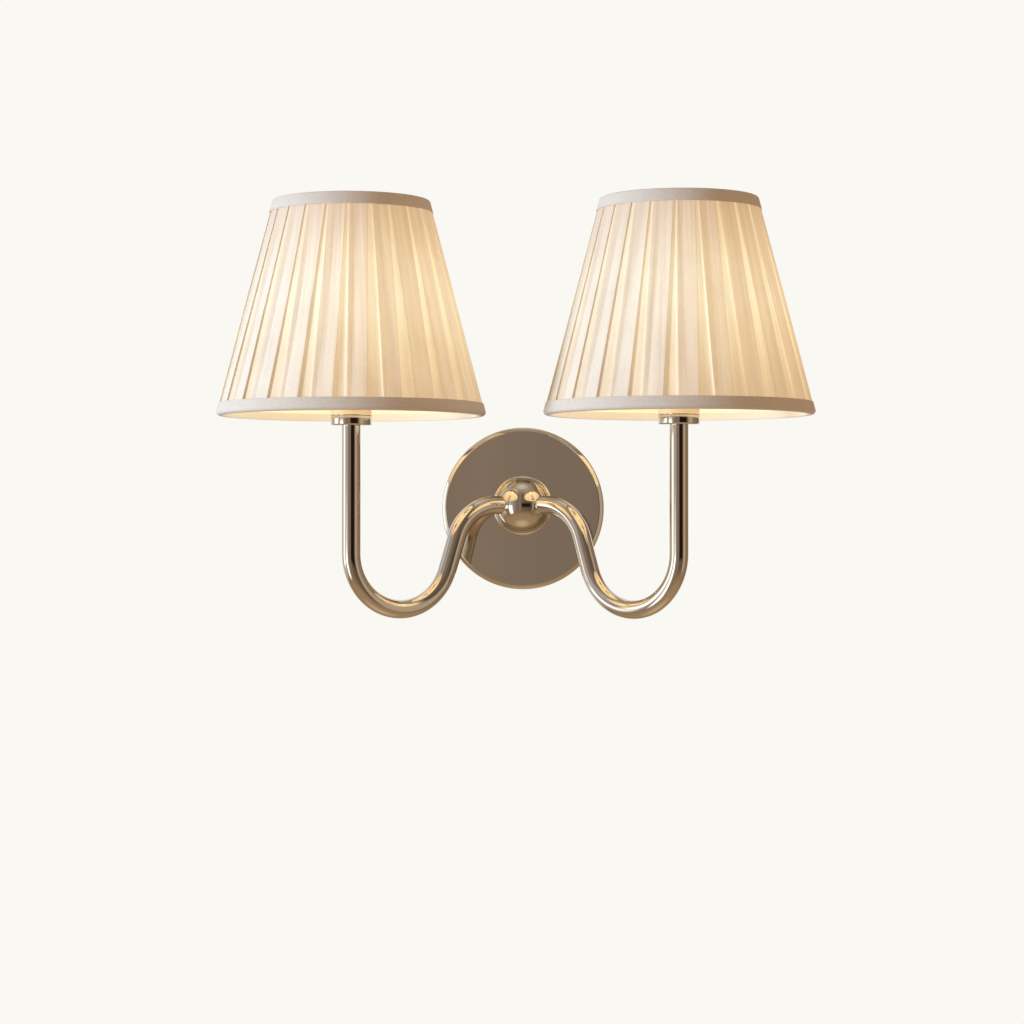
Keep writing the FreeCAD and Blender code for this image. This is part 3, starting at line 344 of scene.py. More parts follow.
def pleated_cotton():
    """Thin plain-woven cotton, pressed into box pleats, with soft slubs. The lamp's light from behind is
    painted on as emission, brighter in the single cloth between two pleats than in the three layers at
    a pleat's edges, and painted shade darkens the cloth's colour where it is single and under the top
    binding."""
    material, tree, shader = new_material(
        "woven_pleated_cotton", {"Roughness": 0.85, "Sheen Weight": 0.15, "Emission Strength": 1.0}
    )
    # Slubs are threads thicker than the rest, about 0.7 by 9 mm, mostly upright
    slub = object_noise(tree, 0.7 * MM, 2.0, (1, 1, 12))
    cloud = object_noise(tree, 14 * MM, 2.0, (1, 1, 2))
    tone = add_node(tree, "Mix", {0: 0.55, 2: slub, 3: cloud})
    cloth = add_node(tree, "ValToRGB", (tone,), stops=[(0.36, "#DDD6CE"), (0.64, light().finish.cloth)])
    # Painted shade: the colour of single cloth is made darker than that of three layers, as more of the
    # daylight goes through one layer
    single = add_node(tree, "Attribute", output="Fac", attribute_name="single_cloth")
    thin = add_node(tree, "ValToRGB", (tone,), stops=[(0.36, "#D0C1AF"), (0.64, "#D9CCBD")])
    less = add_node(tree, "MapRange", (single, 0.0, 0.25))
    cloth = add_node(tree, "Mix", {0: less, 6: cloth, 7: thin}, 2, data_type="RGBA")
    # Painted shade: towards the top binding the cloth's colour is made a little darker, as in the binding's
    # shade, and the painted glow fades there too
    coords = add_node(tree, "TexCoord", output="Object")
    x, z = (add_node(tree, "SeparateXYZ", (coords,), axis) for axis in "XZ")
    toward_top = add_node(tree, "MapRange", (z, BRIGHTEST, GLOW_TOP), interpolation_type="SMOOTHSTEP")
    painted_top_shade = {0: toward_top, 6: cloth, 7: linear("#D4C3B6")}
    # Painted light: the lamp's light through the cloth is emission, most level with the bulb. The painted
    # glow is made weaker towards the left of each shade, by object X, where the window light from the left
    # outshines it, so the left side glows less and more orange
    side = add_node(tree, "Math", (x,), operation="SIGN")
    across = add_node(tree, "Math", (side, -lamp_axis("right").x, x), operation="MULTIPLY_ADD")
    near = add_node(tree, "MapRange", (across, -50 * MM, 28 * MM))
    up = add_node(tree, "MapRange", (z, GLOW_FOOT, BRIGHTEST, 0.6, 1.0), interpolation_type="SMOOTHSTEP")
    level = add_node(tree, "Math", (toward_top, -0.38, up), operation="MULTIPLY_ADD")
    pleat = add_node(tree, "MapRange", (near, 0.0, 1.0, 0.05, 0.5))
    gap = add_node(tree, "MapRange", (near, 0.0, 1.0, 0.27, 0.67))
    amount = add_node(tree, "MapRange", (single, 0.0, 1.0, pleat, gap))
    # Pressing leaves upright creases a few millimetres apart, which make the painted glow through the cloth
    # a little stronger or weaker
    uv = add_node(tree, "UVMap")
    upright = add_node(tree, "Mapping", {"Vector": uv, "Scale": (1, 0.03, 1)})
    crease = add_node(tree, "TexNoise", {"Vector": upright, "Scale": 1 / (4 * MM), "Detail": 2.0})
    patchy = add_node(tree, "MapRange", (tone, 0.35, 0.65, 0.94, 1.05))
    creased = add_node(tree, "MapRange", (crease, 0.35, 0.65, 0.88, 1.1))
    for share in (level, patchy, creased):
        amount = add_node(tree, "Math", (amount, share), operation="MULTIPLY")
    pleat_tint = [(0.65, "#FFE2B0"), (1.0, "#FFE9BC")]
    gap_tint = [(0.65, "#FFE8B8"), (0.88, "#FFF0C2"), (1.0, "#FFF8D2")]
    through = [add_node(tree, "ValToRGB", (level,), stops=stops) for stops in (pleat_tint, gap_tint)]
    tint = add_node(tree, "Mix", {0: single, 6: through[0], 7: through[1]}, 2, data_type="RGBA")
    height = woven_height(tree)
    for rough, much in ((slub, 1.5), (crease, 14.0)):
        height = add_node(tree, "Math", (rough, much, height), operation="MULTIPLY_ADD")
    feed(tree, shader, {
        "Base Color": add_node(tree, "Mix", painted_top_shade, 2, data_type="RGBA"),
        "Emission Color": add_node(tree, "VectorMath", {0: tint, "Scale": amount}, operation="SCALE"),
        "Normal": add_node(tree, "Bump", {"Height": height, "Distance": 0.05 * MM}),
    })
    return material


def bias_binding():
    """Cotton bias binding in taupe, folded over the ring: close weave, opaque. The bulb's light on the
    hem tucked inside the shade is painted on as emission."""
    material, tree, shader = new_material("woven_bias_binding", {
        "Roughness": 0.9, "Sheen Weight": 0.1, "Emission Color": linear(light().finish.glow),
    })
    fleck = object_noise(tree, 1.2 * MM, 3.0)
    stops = [(0.3, "#D0CBC7"), (0.7, light().finish.binding)]
    # Painted light: the tucked hem glows with the bulb's light as emission
    inside = add_node(tree, "Attribute", output="Fac", attribute_name="inside")
    feed(tree, shader, {
        "Base Color": add_node(tree, "ValToRGB", (fleck,), stops=stops),
        "Normal": add_node(tree, "Bump", {"Height": woven_height(tree), "Distance": 0.06 * MM}),
        "Emission Strength": add_node(tree, "Math", (inside, 0.42), operation="MULTIPLY"),
    })
    return material


def laminated_lining():
    """Cream cotton laminated to a thin plastic sheet: smooth and warm. Besides the bulb's own light, a
    painted glow of the bulb's light is added as emission, brightest level with the bulb."""
    material, tree, shader = new_material(
        "laminated_cotton_lining", {"Roughness": 0.5, "Emission Color": linear(light().finish.glow)}
    )
    slub = object_noise(tree, 0.8 * MM, 2.0, (1, 1, 8))
    stops = [(0.3, "#EADDBF"), (0.7, light().finish.lining)]
    coords = add_node(tree, "TexCoord", output="Object")
    height = add_node(tree, "SeparateXYZ", (coords,), "Z")
    base = light().shade.base
    above = add_node(tree, "Math", (height, base), operation="SUBTRACT")
    near = add_node(tree, "Math", (above, BRIGHTEST - base), operation="PINGPONG")
    feed(tree, shader, {
        "Base Color": add_node(tree, "ValToRGB", (slub,), stops=stops),
        "Emission Strength": add_node(tree, "MapRange", (near, 0.0, BRIGHTEST - base, 0.42, 0.58)),
    })
    return material


# Shapes


class Lathe:
    """Draws half a section with a pen, x from the axis and z up, and turns it about the axis."""

    def __init__(self, x, z):
        self.mesh = bmesh.new()
        self.tip = self.mesh.verts.new((x * MM, 0, z * MM))

    def line(self, *points):
        for x, z in points:
            made = bmesh.ops.extrude_vert_indiv(self.mesh, verts=[self.tip])
            self.tip = made["verts"][0]
            self.tip.co = (x * MM, 0, z * MM)
        return self

    def arc(self, x, z, angle, steps=8):
        """Goes round the centre x, z by an angle in degrees, anticlockwise where it is positive."""
        turned = bmesh.ops.spin(self.mesh, geom=[self.tip], cent=(x * MM, 0, z * MM), axis=(0, -1, 0),
                                angle=radians(angle), steps=steps, use_duplicate=False)
        self.tip = turned["geom_last"][0]
        return self

    def turn(self, steps, place):
        mesh = self.mesh
        bmesh.ops.spin(mesh, geom=mesh.verts[:] + mesh.edges[:], cent=(0, 0, 0), axis=(0, 0, 1),
                       angle=tau, steps=steps, use_merge=True, use_duplicate=False)
        bmesh.ops.remove_doubles(mesh, verts=mesh.verts, dist=1e-6)
        bmesh.ops.recalc_face_normals(mesh, faces=mesh.faces)
        mesh.transform(place)
        return mesh


class Wire:
    """Round bar drawn on from its last ring: run goes straight, bend turns towards a side."""

    def __init__(self, mesh, at, way, radius, sides=16):
        self.mesh = mesh
        self.at, self.way = Vector(at), Vector(way).normalized()
        turn = Vector((0, 0, 1)).rotation_difference(self.way).to_matrix().to_4x4()
        made = bmesh.ops.create_circle(self.mesh, cap_ends=False, segments=sides, radius=radius,
                                       matrix=Matrix.Translation(self.at) @ turn)
        self.first = self.ring = list({e for v in made["verts"] for e in v.link_edges})

    def run(self, distance, parts=1):
        for _ in range(parts):
            made = bmesh.ops.extrude_edge_only(self.mesh, edges=self.ring)["geom"]
            step = self.way * distance / parts
            moved = [g for g in made if isinstance(g, bmesh.types.BMVert)]
            bmesh.ops.translate(self.mesh, vec=step, verts=moved)
            self.ring = [g for g in made if isinstance(g, bmesh.types.BMEdge)]
            self.at = self.at + step
        return self

    def bend(self, radius, angle, side, steps):
        side = Vector(side).normalized()
        centre = self.at + side * radius
        axis = self.way.cross(side)
        made = bmesh.ops.spin(self.mesh, geom=self.ring, cent=centre, axis=axis, angle=angle,
                              steps=steps, use_duplicate=False)
        self.ring = [g for g in made["geom_last"] if isinstance(g, bmesh.types.BMEdge)]
        turn = Matrix.Rotation(angle, 3, axis)
        self.at = centre + turn @ (self.at - centre)
        self.way = turn @ self.way
        return self

    def ends(self, closed=False):
        if closed:
            bmesh.ops.remove_doubles(self.mesh, verts=self.mesh.verts, dist=1e-6)
        else:
            for ring in (self.first, self.ring):
                bmesh.ops.contextual_create(self.mesh, geom=ring)
        bmesh.ops.recalc_face_normals(self.mesh, faces=self.mesh.faces)


def new_object(name, data):
    """An object of the scene, at the origin."""
    item = bpy.data.objects.new(name, data)
    bpy.context.collection.objects.link(item)
    return item


def finish_piece(mesh, name, body, material, replaces, smooth=40):
    """Turns a bmesh into a piece that rides on its body in its finish, in place of CAD nodes. Edges
    sharper than smooth, in degrees, stay sharp, and at 0 none does."""
    data = bpy.data.meshes.new(name)
    mesh.to_mesh(data)
    mesh.free()
    data.shade_smooth()
    if smooth:
        data.set_sharp_from_angle(angle=radians(smooth))
    data.materials.append(material)
    piece = new_object(name, data)
    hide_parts(*replaces)
    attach(piece, body)
    return piece


def metre_uv(piece, side):
    """A UV map in metres: the way round a shade's axis on its middle radius, and the height."""
    data, axis = piece.data, lamp_axis(side)
    places = [v.co - axis for v in data.vertices]
    values = []
    for face in data.polygons:
        turns = [atan2(places[v].y, places[v].x) for v in face.vertices]
        if max(turns) - min(turns) > pi:
            turns = [t if t > 0 else t + tau for t in turns]
        for vertex, turn in zip(face.vertices, turns):
            values += [turn * MIDDLE_RADIUS, places[vertex].z]
    data.uv_layers.new(name="UVMap").data.foreach_set("uv", values)


def shade_radius(height, inset=0.0):
    """The shade's outer radius at a height above its bottom edge, in millimetres."""
    shade = light().shade
    slope = (shade.bottom - shade.top) / 2 / shade.height
    return (shade.bottom / 2 - slope * height * MM) / MM - inset


def shade_matrix(side):
    return Matrix.Translation(lamp_axis(side) + Vector((0, 0, light().shade.base)))


class WALLLIGHT_OT_plate(Operator):
    """Spun dish with a rolled edge and a bevel round its flat mirror face"""

    bl_idname = "wall_light.plate"
    bl_label = "Wall Plate"

    def execute(self, context):
        size = light().plate
        rim, top, wall, roll = (v / MM for v in (size.diameter / 2, size.depth, size.wall, size.roll))
        face = size.face / 2 / MM
        tilt, soft = 33, 0.9
        slant = radians(tilt)
        bevel_x = rim - roll * (1 - sin(slant))
        bevel_z = top - (bevel_x - face) * tan(slant)
        roll_z = bevel_z - roll * cos(slant)
        # The sheet's inside follows the bevel a wall's thickness behind it
        inner_face, inner_bevel = (face - 0.4, top - wall), (bevel_x - 0.7, bevel_z - 1.1)
        dish = Lathe(rim, 0).line((rim, roll_z)).arc(rim - roll, roll_z, 90 - tilt, 8)
        # The bevel meets the face over a small rounding, which draws the thin line round the mirror
        reach = soft * tan(slant / 2)
        start_x, start_z = face + reach * cos(slant), top - reach * sin(slant)
        dish.line((start_x, start_z)).arc(face - reach, top - soft, tilt, 6).line((0, top))
        dish.line((0, top - wall), inner_face, inner_bevel)
        dish.line((rim - wall, roll_z), (rim - wall, 0), (rim, 0))
        mesh = dish.turn(256, OUT_OF_WALL)
        finish_piece(mesh, "wall_plate", "fitting", polished_nickel(), ["back_plate"], 25)
        return {"FINISHED"}


class WALLLIGHT_OT_hub(Operator):
    """Coved collar and the ball that carries both arms"""

    bl_idname = "wall_light.hub"
    bl_label = "Hub"

    def execute(self, context):
        size = light().plate
        base, foot, high = (v / MM for v in (size.depth, size.collar / 2, size.collar_height))
        ball, reach = size.ball / 2 / MM, size.reach / MM
        bore, web = 5.1, base + 2
        foot_edge, foot_round, lip_high, lip_round, seat_edge = 0.4, 0.3, 0.7, 0.25, 0.2
        top = base + high
        seat = sqrt(ball**2 - (reach - top) ** 2) + 0.1
        lip = seat + lip_high
        collar = Lathe(bore, base).line((foot, base), (foot, base + foot_edge))
        collar.arc(foot - foot_round, base + foot_edge, 90, 5)
        # The cove is a quarter hollow from the foot's edge up to the lip
        low = base + foot_edge + foot_round
        rise, run = top - lip_high - low, foot - foot_round - lip
        radius = 4.2
        half = asin(hypot(run, rise) / 2 / radius)
        middle = Vector((lip + run / 2, low + rise / 2))
        centre = middle + Vector((rise, run)).normalized() * radius * cos(half)
        collar.arc(centre.x, centre.y, -degrees(2 * half), 14)
        collar.line((lip, top - lip_round)).arc(lip - lip_round, top - lip_round, 90, 5)
        collar.line((seat + seat_edge, top), (seat, top - seat_edge), (seat, web), (bore, web))
        collar.line((bore, base))
        place = Matrix.Translation((0, 0, size.rise)) @ OUT_OF_WALL
        nickel = polished_nickel()
        mesh = collar.turn(192, place)
        finish_piece(mesh, "hub_ring", "fitting", nickel, ["hub_collar"], 30)
        start = asin((reach - web) / ball)
        globe = Lathe(0, web).line((ball * cos(start), web))
        globe.arc(0, reach, degrees(start) + 90, 72)
        mesh = globe.turn(192, place)
        finish_piece(mesh, "hub_globe", "fitting", nickel, ["hub_ball"], 30)
        return {"FINISHED"}


class WALLLIGHT_OT_arms(Operator):
    """Two bent tubes, from inside the ball to the cups"""

    bl_idname = "wall_light.arms"
    bl_label = "Arms"

    def execute(self, context):
        size, plate = light().arm, light().plate
        nickel = polished_nickel()
        ball = Vector((0, -plate.reach, plate.rise))
        down, up = Vector((0, 0, -1)), Vector((0, 0, 1))
        turned = (size.upper_bend + size.lower_bend) * sin(size.slope)
        upper_run = size.reach - turned - size.slope_run * cos(size.slope) - size.lower_bend
        for side, sign in SIDES.items():
            way = Vector((sign * cos(size.swing), -sin(size.swing), 0))
            mesh = bmesh.new()
            tube = Wire(mesh, ball + way * size.start, way, size.tube / 2, 48)
            tube.run(upper_run - size.start, 2)
            tube.bend(size.upper_bend, size.slope, down, 36)
            tube.run(size.slope_run, 4)
            inward = tube.way.cross(tube.way.cross(up)).normalized() * -1
            tube.bend(size.lower_bend, size.slope + pi / 2, inward, 80)
            tube.run(size.stem_top - tube.at.z, 10)
            tube.ends()
            finish_piece(mesh, f"{side}_arm", "fitting", nickel, [f"{side}_arm_tube"])
        return {"FINISHED"}


class WALLLIGHT_OT_cups(Operator):
    """Turned cup with a lip, and the ivory candle sleeve on it"""

    bl_idname = "wall_light.cups"
    bl_label = "Cups and Sleeves"

    def execute(self, context):
        size = light().lamp
        lip, high, sleeve = (v / MM for v in (size.cup / 2, size.cup_height, size.sleeve / 2))
        bottom = light().arm.stem_top / MM
        top = bottom + high
        seat = top - size.cup_rim / MM
        bore, spigot, spigot_high = 5.1, 11.7, 1.5
        waist, foot_round, lip_low, lip_round, rim_break = lip - 0.4, 1.1, 0.95, 0.15, 0.2
        wall, foot_break, rim_round = 1.2, 0.2, 0.6
        nickel, ivory = polished_nickel(), candle_ivory()
        for side in SIDES:
            place = Matrix.Translation(lamp_axis(side))
            cup = Lathe(bore, bottom).line((waist - foot_round, bottom))
            cup.arc(waist - foot_round, bottom + foot_round, 90, 8)
            cup.line((waist, top - lip_low - 0.25), (lip - lip_round, top - lip_low))
            cup.arc(lip - lip_round, top - lip_low + lip_round, 90, 3)
            cup.line((lip, top - rim_break)).arc(lip - rim_break, top - rim_break, 90, 4)
            cup.line((sleeve, top), (sleeve, seat), (spigot, seat), (spigot, seat + spigot_high))
            cup.line((bore, seat + spigot_high), (bore, bottom))
            mesh = cup.turn(128, place)
            finish_piece(mesh, f"{side}_cup", "fitting", nickel, [f"{side}_lamp_cup"], 35)
            rim = size.sleeve_top / MM
            tube = Lathe(sleeve - wall, seat).line((sleeve - foot_break, seat))
            tube.arc(sleeve - foot_break, seat + foot_break, 90, 3).line((sleeve, rim - rim_round))
            for _ in range(2):
                tube.arc(sleeve - rim_round, rim - rim_round, 90, 6)
            mesh = tube.line((sleeve - wall, seat)).turn(96, place)
            finish_piece(mesh, f"{side}_sleeve", "fitting", ivory,
                         [f"{side}_candle_sleeve"], 35)
        return {"FINISHED"}


class WALLLIGHT_OT_bulbs(Operator):
    """Opal candle bulbs, drawn as one line of arcs from the neck to the tip"""

    bl_idname = "wall_light.bulbs"
    bl_label = "Bulbs"

    def execute(self, context):
        size = light().lamp
        belly, neck, base = (v / MM for v in (size.bulb / 2, size.bulb_neck / 2, size.cap_top))
        neck_bend, belly_bend, flame_bend, tip_bend, middle = 20, 30, 70, 3.5, 33
        neck_x, belly_x, flame_x = neck + neck_bend, belly - belly_bend, belly - flame_bend
        lean = acos((neck_x - belly_x) / (neck_bend + belly_bend))
        rise = middle - (neck_bend + belly_bend) * sin(lean)
        close = asin(sqrt((flame_bend - tip_bend) ** 2 - flame_x**2) / (flame_bend - tip_bend))
        tip_z = middle + (flame_bend - tip_bend) * sin(close)
        opal = opal_glass()
        for side in SIDES:
            glass = Lathe(0, 0).line((neck, 0), (neck, rise))
            glass.arc(neck_x, rise, -degrees(lean), 10)
            glass.arc(belly_x, middle, degrees(lean), 12)
            glass.arc(flame_x, middle, degrees(close), 28)
            glass.arc(0, tip_z, 90 - degrees(close), 8)
            place = Matrix.Translation(lamp_axis(side) + Vector((0, 0, base * MM)))
            mesh = glass.turn(96, place)
            body = f"{side}_bulb"
            finish_piece(mesh, f"{side}_glass", body, opal, [f"{side}_bulb_glass"])
        return {"FINISHED"}


class WALLLIGHT_OT_shade_frames(Operator):
    """Wire rings, the spokes with their small ring, and the two sprung loops of the clip"""

    bl_idname = "wall_light.shade_frames"
    bl_label = "Shade Frames"

    def execute(self, context):
        size = light().shade
        coat = powder_coated_wire()
        high, inset, edge = size.height / MM, 4.55, 2.2
        small, small_z = 7.5, 113
        top = high - edge
        outer = shade_radius(top, inset)
        for side in SIDES:
            foot, frame, loops = (bmesh.new() for _ in range(3))
            self.ring(foot, shade_radius(edge, inset), edge, size.frame_wire)
            self.ring(frame, outer, top, size.frame_wire)
            self.ring(frame, small, small_z, size.spoke_wire)
            for n in range(size.spokes):
                angle = radians(90) + n * tau / size.spokes
                out = Vector((cos(angle), sin(angle), 0))
                start = (out * small + Vector((0, 0, small_z))) * MM
                end = (out * outer + Vector((0, 0, top))) * MM
                spoke = Wire(frame, start, end - start, size.spoke_wire / 2)
                spoke.run((end - start).length).ends()
            for sign in (-1, 1):
                self.loop(loops, sign, size.clip_wire)
            for mesh, name, node, smooth in ((foot, "bottom_wire", "shade_bottom_ring", 0),
                                             (frame, "top_frame", "shade_top_frame", 50),
                                             (loops, "clip", "bulb_clip", 0)):
                mesh.transform(shade_matrix(side))
                finish_piece(mesh, f"{side}_{name}", f"{side}_shade", coat,
                             [f"{side}_{node}"], smooth)
        return {"FINISHED"}

    def ring(self, mesh, radius, z, wire):
        bar = Wire(mesh, (radius * MM, 0, z * MM), (0, 1, 0), wire / 2)
        bar.bend(radius * MM, tau, (-1, 0, 0), 96).ends(closed=True)

    def loop(self, mesh, sign, wire):
        """A long loop, 20.4 mm wide, that leans out from the small ring to below the bulb's belly."""
        half, top, bottom = 10.2, Vector((0, sign * 7.5, 111.1)), Vector((0, sign * 19.5, 66))
        run = (top - bottom).length - 2 * half
        up = (top - bottom).normalized()
        across = Vector((1, 0, 0))
        bar = Wire(mesh, (bottom + up * half - across * half) * MM, up, wire / 2, 12)
        for side in (across, -across):
            bar.run(run * MM, 2).bend(half * MM, pi, side, 20)
        bar.ends(closed=True)


class WALLLIGHT_OT_linings(Operator):
    """Smooth cream cones behind the pleats"""

    bl_idname = "wall_light.linings"
    bl_label = "Linings"

    def execute(self, context):
        material = laminated_lining()
        outer, inner, low, high = 2.7, 3.3, 1, light().shade.height / MM - 1
        for side in SIDES:
            cone = Lathe(shade_radius(low, outer), low)
            for inset, z in ((outer, high), (inner, high), (inner, low), (outer, low)):
                cone.line((shade_radius(z, inset), z))
            mesh = cone.turn(96, shade_matrix(side))
            finish_piece(mesh, f"{side}_lining", f"{side}_shade", material,
                         [f"{side}_shade_lining"])
        return {"FINISHED"}


class WALLLIGHT_OT_covers(Operator):
    """Cotton laid in flared box pleats, each a little different from the next"""

    bl_idname = "wall_light.covers"
    bl_label = "Pleated Covers"

    def execute(self, context):
        material = pleated_cotton()
        for side, seed in zip(SIDES, (0.0, 5.3)):
            piece = self.cover(side, seed, material)
            metre_uv(piece, side)
            smoother = piece.modifiers.new("Smoother", "SUBSURF")
            smoother.levels = smoother.render_levels = 1
        return {"FINISHED"}

    def cover(self, side, seed, material):
        size = light().shade
        low, high, inset = 3.2, size.height / MM - 1, 0.45
        under, edge, step, sag = 1.0, 0.35, 0.3, 1.0
        count, rows = 11, 28
        pitch = tau / size.pleats
        mesh = bmesh.new()
        layer = mesh.verts.layers.float.new("single_cloth")
        bmesh.ops.create_grid(mesh, x_segments=count, y_segments=rows, size=1)
        for vertex in mesh.verts:
            column = round((vertex.co.x + 1) / 2 * count)
            up = (vertex.co.y + 1) / 2
            z = low + (high - low) * up
            radius = shade_radius(z, inset)
            gap = pitch * radius / 2 * (-1 if column == 0 else 1)
            panel = (size.pleat_bottom + (size.pleat_top - size.pleat_bottom) * up) / 2 / MM
            fold = (size.fold_bottom + (size.fold_top - size.fold_bottom) * up) / MM
            layers = panel * (0.45 * up - 0.5)
            # Columns from one gap's middle over a pleat to the next: how far across and how deep the
            # cloth lies, and how single it is. It goes under at both folds, and the edge of the
            # hidden layers shows as a step. Where there is no depth, the pleat sags.
            place, depth, vertex[layer] = [
                (gap, fold, 1.0), (under - panel, fold, 1.0), (-panel, 0.5 * fold, 0.3),
                (edge - panel, 0.15, 0.1), (layers - step, None, 0.25), (layers + step, None, 0.0),
                (panel * 0.25, None, 0.0), (panel * 0.65, None, 0.0), (panel - edge, 0.1, 0.0),
                (panel, 0.25 * fold, 0.5), (panel - under, fold, 1.0),
            ][column % count]
            if depth is None:
                # It is lowest where the hidden layers end, and is pressed flat under the bindings
                depth = sag * sin(pi * min(max(up, 0.03), 0.97)) ** 0.5
                depth *= min((panel - place) / (panel - layers), 1)
            angle = place / radius
            reach = (radius - depth) * MM
            if depth == fold:
                vertex.co = (reach * cos(angle), reach * sin(angle), z * MM)
            else:
                vertex.co = (reach * cos(angle) ** 0.5, place * MM, z * MM)
        bmesh.ops.spin(mesh, geom=mesh.verts[:] + mesh.edges[:] + mesh.faces[:], cent=(0, 0, 0),
                       axis=(0, 0, 1), angle=tau * (size.pleats - 1) / size.pleats,
                       steps=size.pleats - 1, use_duplicate=True)
        bmesh.ops.remove_doubles(mesh, verts=mesh.verts, dist=1e-5)
        self.loosen(mesh, side, seed)
        bmesh.ops.recalc_face_normals(mesh, faces=mesh.faces)
        mesh.transform(shade_matrix(side))
        return finish_piece(mesh, f"{side}_pleats", f"{side}_shade", material,
                            [f"{side}_shade_cover"], 0)

    def loosen(self, mesh, side, seed):
        """Turns the pleats to where they lie, and leaves each fold off its mark, as hands lay them."""
        low, high = PLEAT_TURN[side]
        tall = light().shade.height
        # How far a fold strays sideways, and the cloth ripples and stands out
        aside, ripple, puff = 1.5, 0.4, 0.1
        for vertex in mesh.verts:
            x, y, z = vertex.co
            out = Vector((x, y, 0)).normalized()
            free = sin(pi * min(max(z / tall, 0.02), 0.98)) ** 0.5
            stray = noise.noise(Vector((out.x * 9 + seed, out.y * 9, z * 3))) * aside * MM / hypot(x, y)
            wave = noise.noise(Vector((out.x * 26, out.y * 26 + seed, z * 9)))
            vertex.co += out * (wave * ripple + puff) * free * MM
            turn = radians(low + (high - low) * z / tall) + stray
            vertex.co.rotate(Matrix.Rotation(turn, 3, "Z"))


class WALLLIGHT_OT_bindings(Operator):
    """Folded bias binding over both edges of each shade"""

    bl_idname = "wall_light.bindings"
    bl_label = "Bindings"

    def execute(self, context):
        size = light().shade
        high, wide = size.height / MM, size.binding / MM
        material = bias_binding()
        for side in SIDES:
            for end, edge, way in (("bottom", 0.0, 1), ("top", high, -1)):
                mesh = self.binding(edge, way, wide, side)
                piece = finish_piece(mesh, f"{side}_{end}_binding", f"{side}_shade", material,
                                     [f"{side}_shade_{end}_trim"], 60)
                metre_uv(piece, side)
        return {"FINISHED"}

    def binding(self, edge, way, wide, side):
        """Outside band, a rounded edge under the ring wire, and the hem tucked behind it."""

        def at(inset, up):
            return shade_radius(edge + way * up, inset), edge + way * up

        roll, tuck, wrap, thick = (3.0 if way > 0 else 1.2), 5.0, 6.6, 0.4
        lean = (shade_radius(0) - shade_radius(100)) / 100
        bend = (hypot(1, lean) - way * lean) * roll
        turn = 90 + way * degrees(atan(lean))
        tape = Lathe(*at(thick, wide - 0.3)).line(at(0.25, wide), at(0.05, wide - 0.1), at(0, wide - 0.4))
        tape.line(at(0, (wide + roll) / 2), at(0, roll))
        corner = Vector(at(0, roll)) - Vector(at(0, 0))
        out = Vector((-corner.y, corner.x)).normalized() * way
        centre = Vector(at(0, roll)) + out * bend
        tape.arc(centre.x, centre.y, -way * turn, 8)
        tape.line(at(wrap - 0.6, 0), at(wrap - 0.15, 0.2), at(wrap, 0.7))
        tape.line(at(wrap, tuck), at(wrap - thick, tuck), at(wrap - 0.5, thick), at(roll + thick, thick))
        tape.line(at(thick, roll + thick), at(thick, wide - 0.3))
        mesh = tape.turn(160, shade_matrix(side))
        centre = lamp_axis(side)
        inside = mesh.verts.layers.float.new("inside")
        for vertex in mesh.verts:
            out = Vector((vertex.co.x - centre.x, vertex.co.y - centre.y, 0))
            height = (vertex.co.z - light().shade.base) / MM
            vertex[inside] = float(out.length / MM < shade_radius(height, wrap - 1.6))
            # The folded cloth is up to 0.1 mm off its line
            dent = noise.noise(out.normalized() * 8 + Vector((0, 0, height / 15)))
            vertex.co -= out.normalized() * abs(dent) * 0.1 * MM
        return mesh


class WALLLIGHT_OT_fixings(Operator):
    """Finishes of the parts behind the plate and inside the lampholders"""

    bl_idname = "wall_light.fixings"
    bl_label = "Fixings"

    def execute(self, context):
        finishes = {
            zinc_plated_steel(): ["wall_bracket", "earth_washer", "terminal_screws", "hub_nipple",
                                  "hub_washer", "SIDE_stem_nipple"],
            turned_brass(): ["hub_nut", "earth_screw", "terminal_barrels", "SIDE_screw_shell",
                             "SIDE_centre_contact"],
            polished_nickel(): ["plate_screws"],
            moulded("moulded_white_polyamide", "#E6E3DA", "#DAD6CB", 0.45): ["terminal_block"],
            moulded("moulded_white_phenolic", "#E9E6DE", "#DDD9CF", 0.35): ["SIDE_lampholder"],
            moulded("extruded_white_pvc", "#E8E5DD", "#DEDACF", 0.4, 0.8): ["SIDE_arm_flex"],
            moulded("pressed_black_vitrite", "#191A1C", "#101113", 0.2): ["SIDE_bulb_insulator"],
            tin_solder(): ["SIDE_bulb_contact"],
            drawn_aluminium(): ["SIDE_bulb_cap"],
        }
        for material, nodes in finishes.items():
            for name in sorted({node.replace("SIDE", side) for node in nodes for side in SIDES}):
                piece = bpy.data.objects[name]
                if not piece.material_slots:
                    raise RuntimeError(f"{name} has no material slot")
                for slot in piece.material_slots:
                    slot.material = material
        return {"FINISHED"}


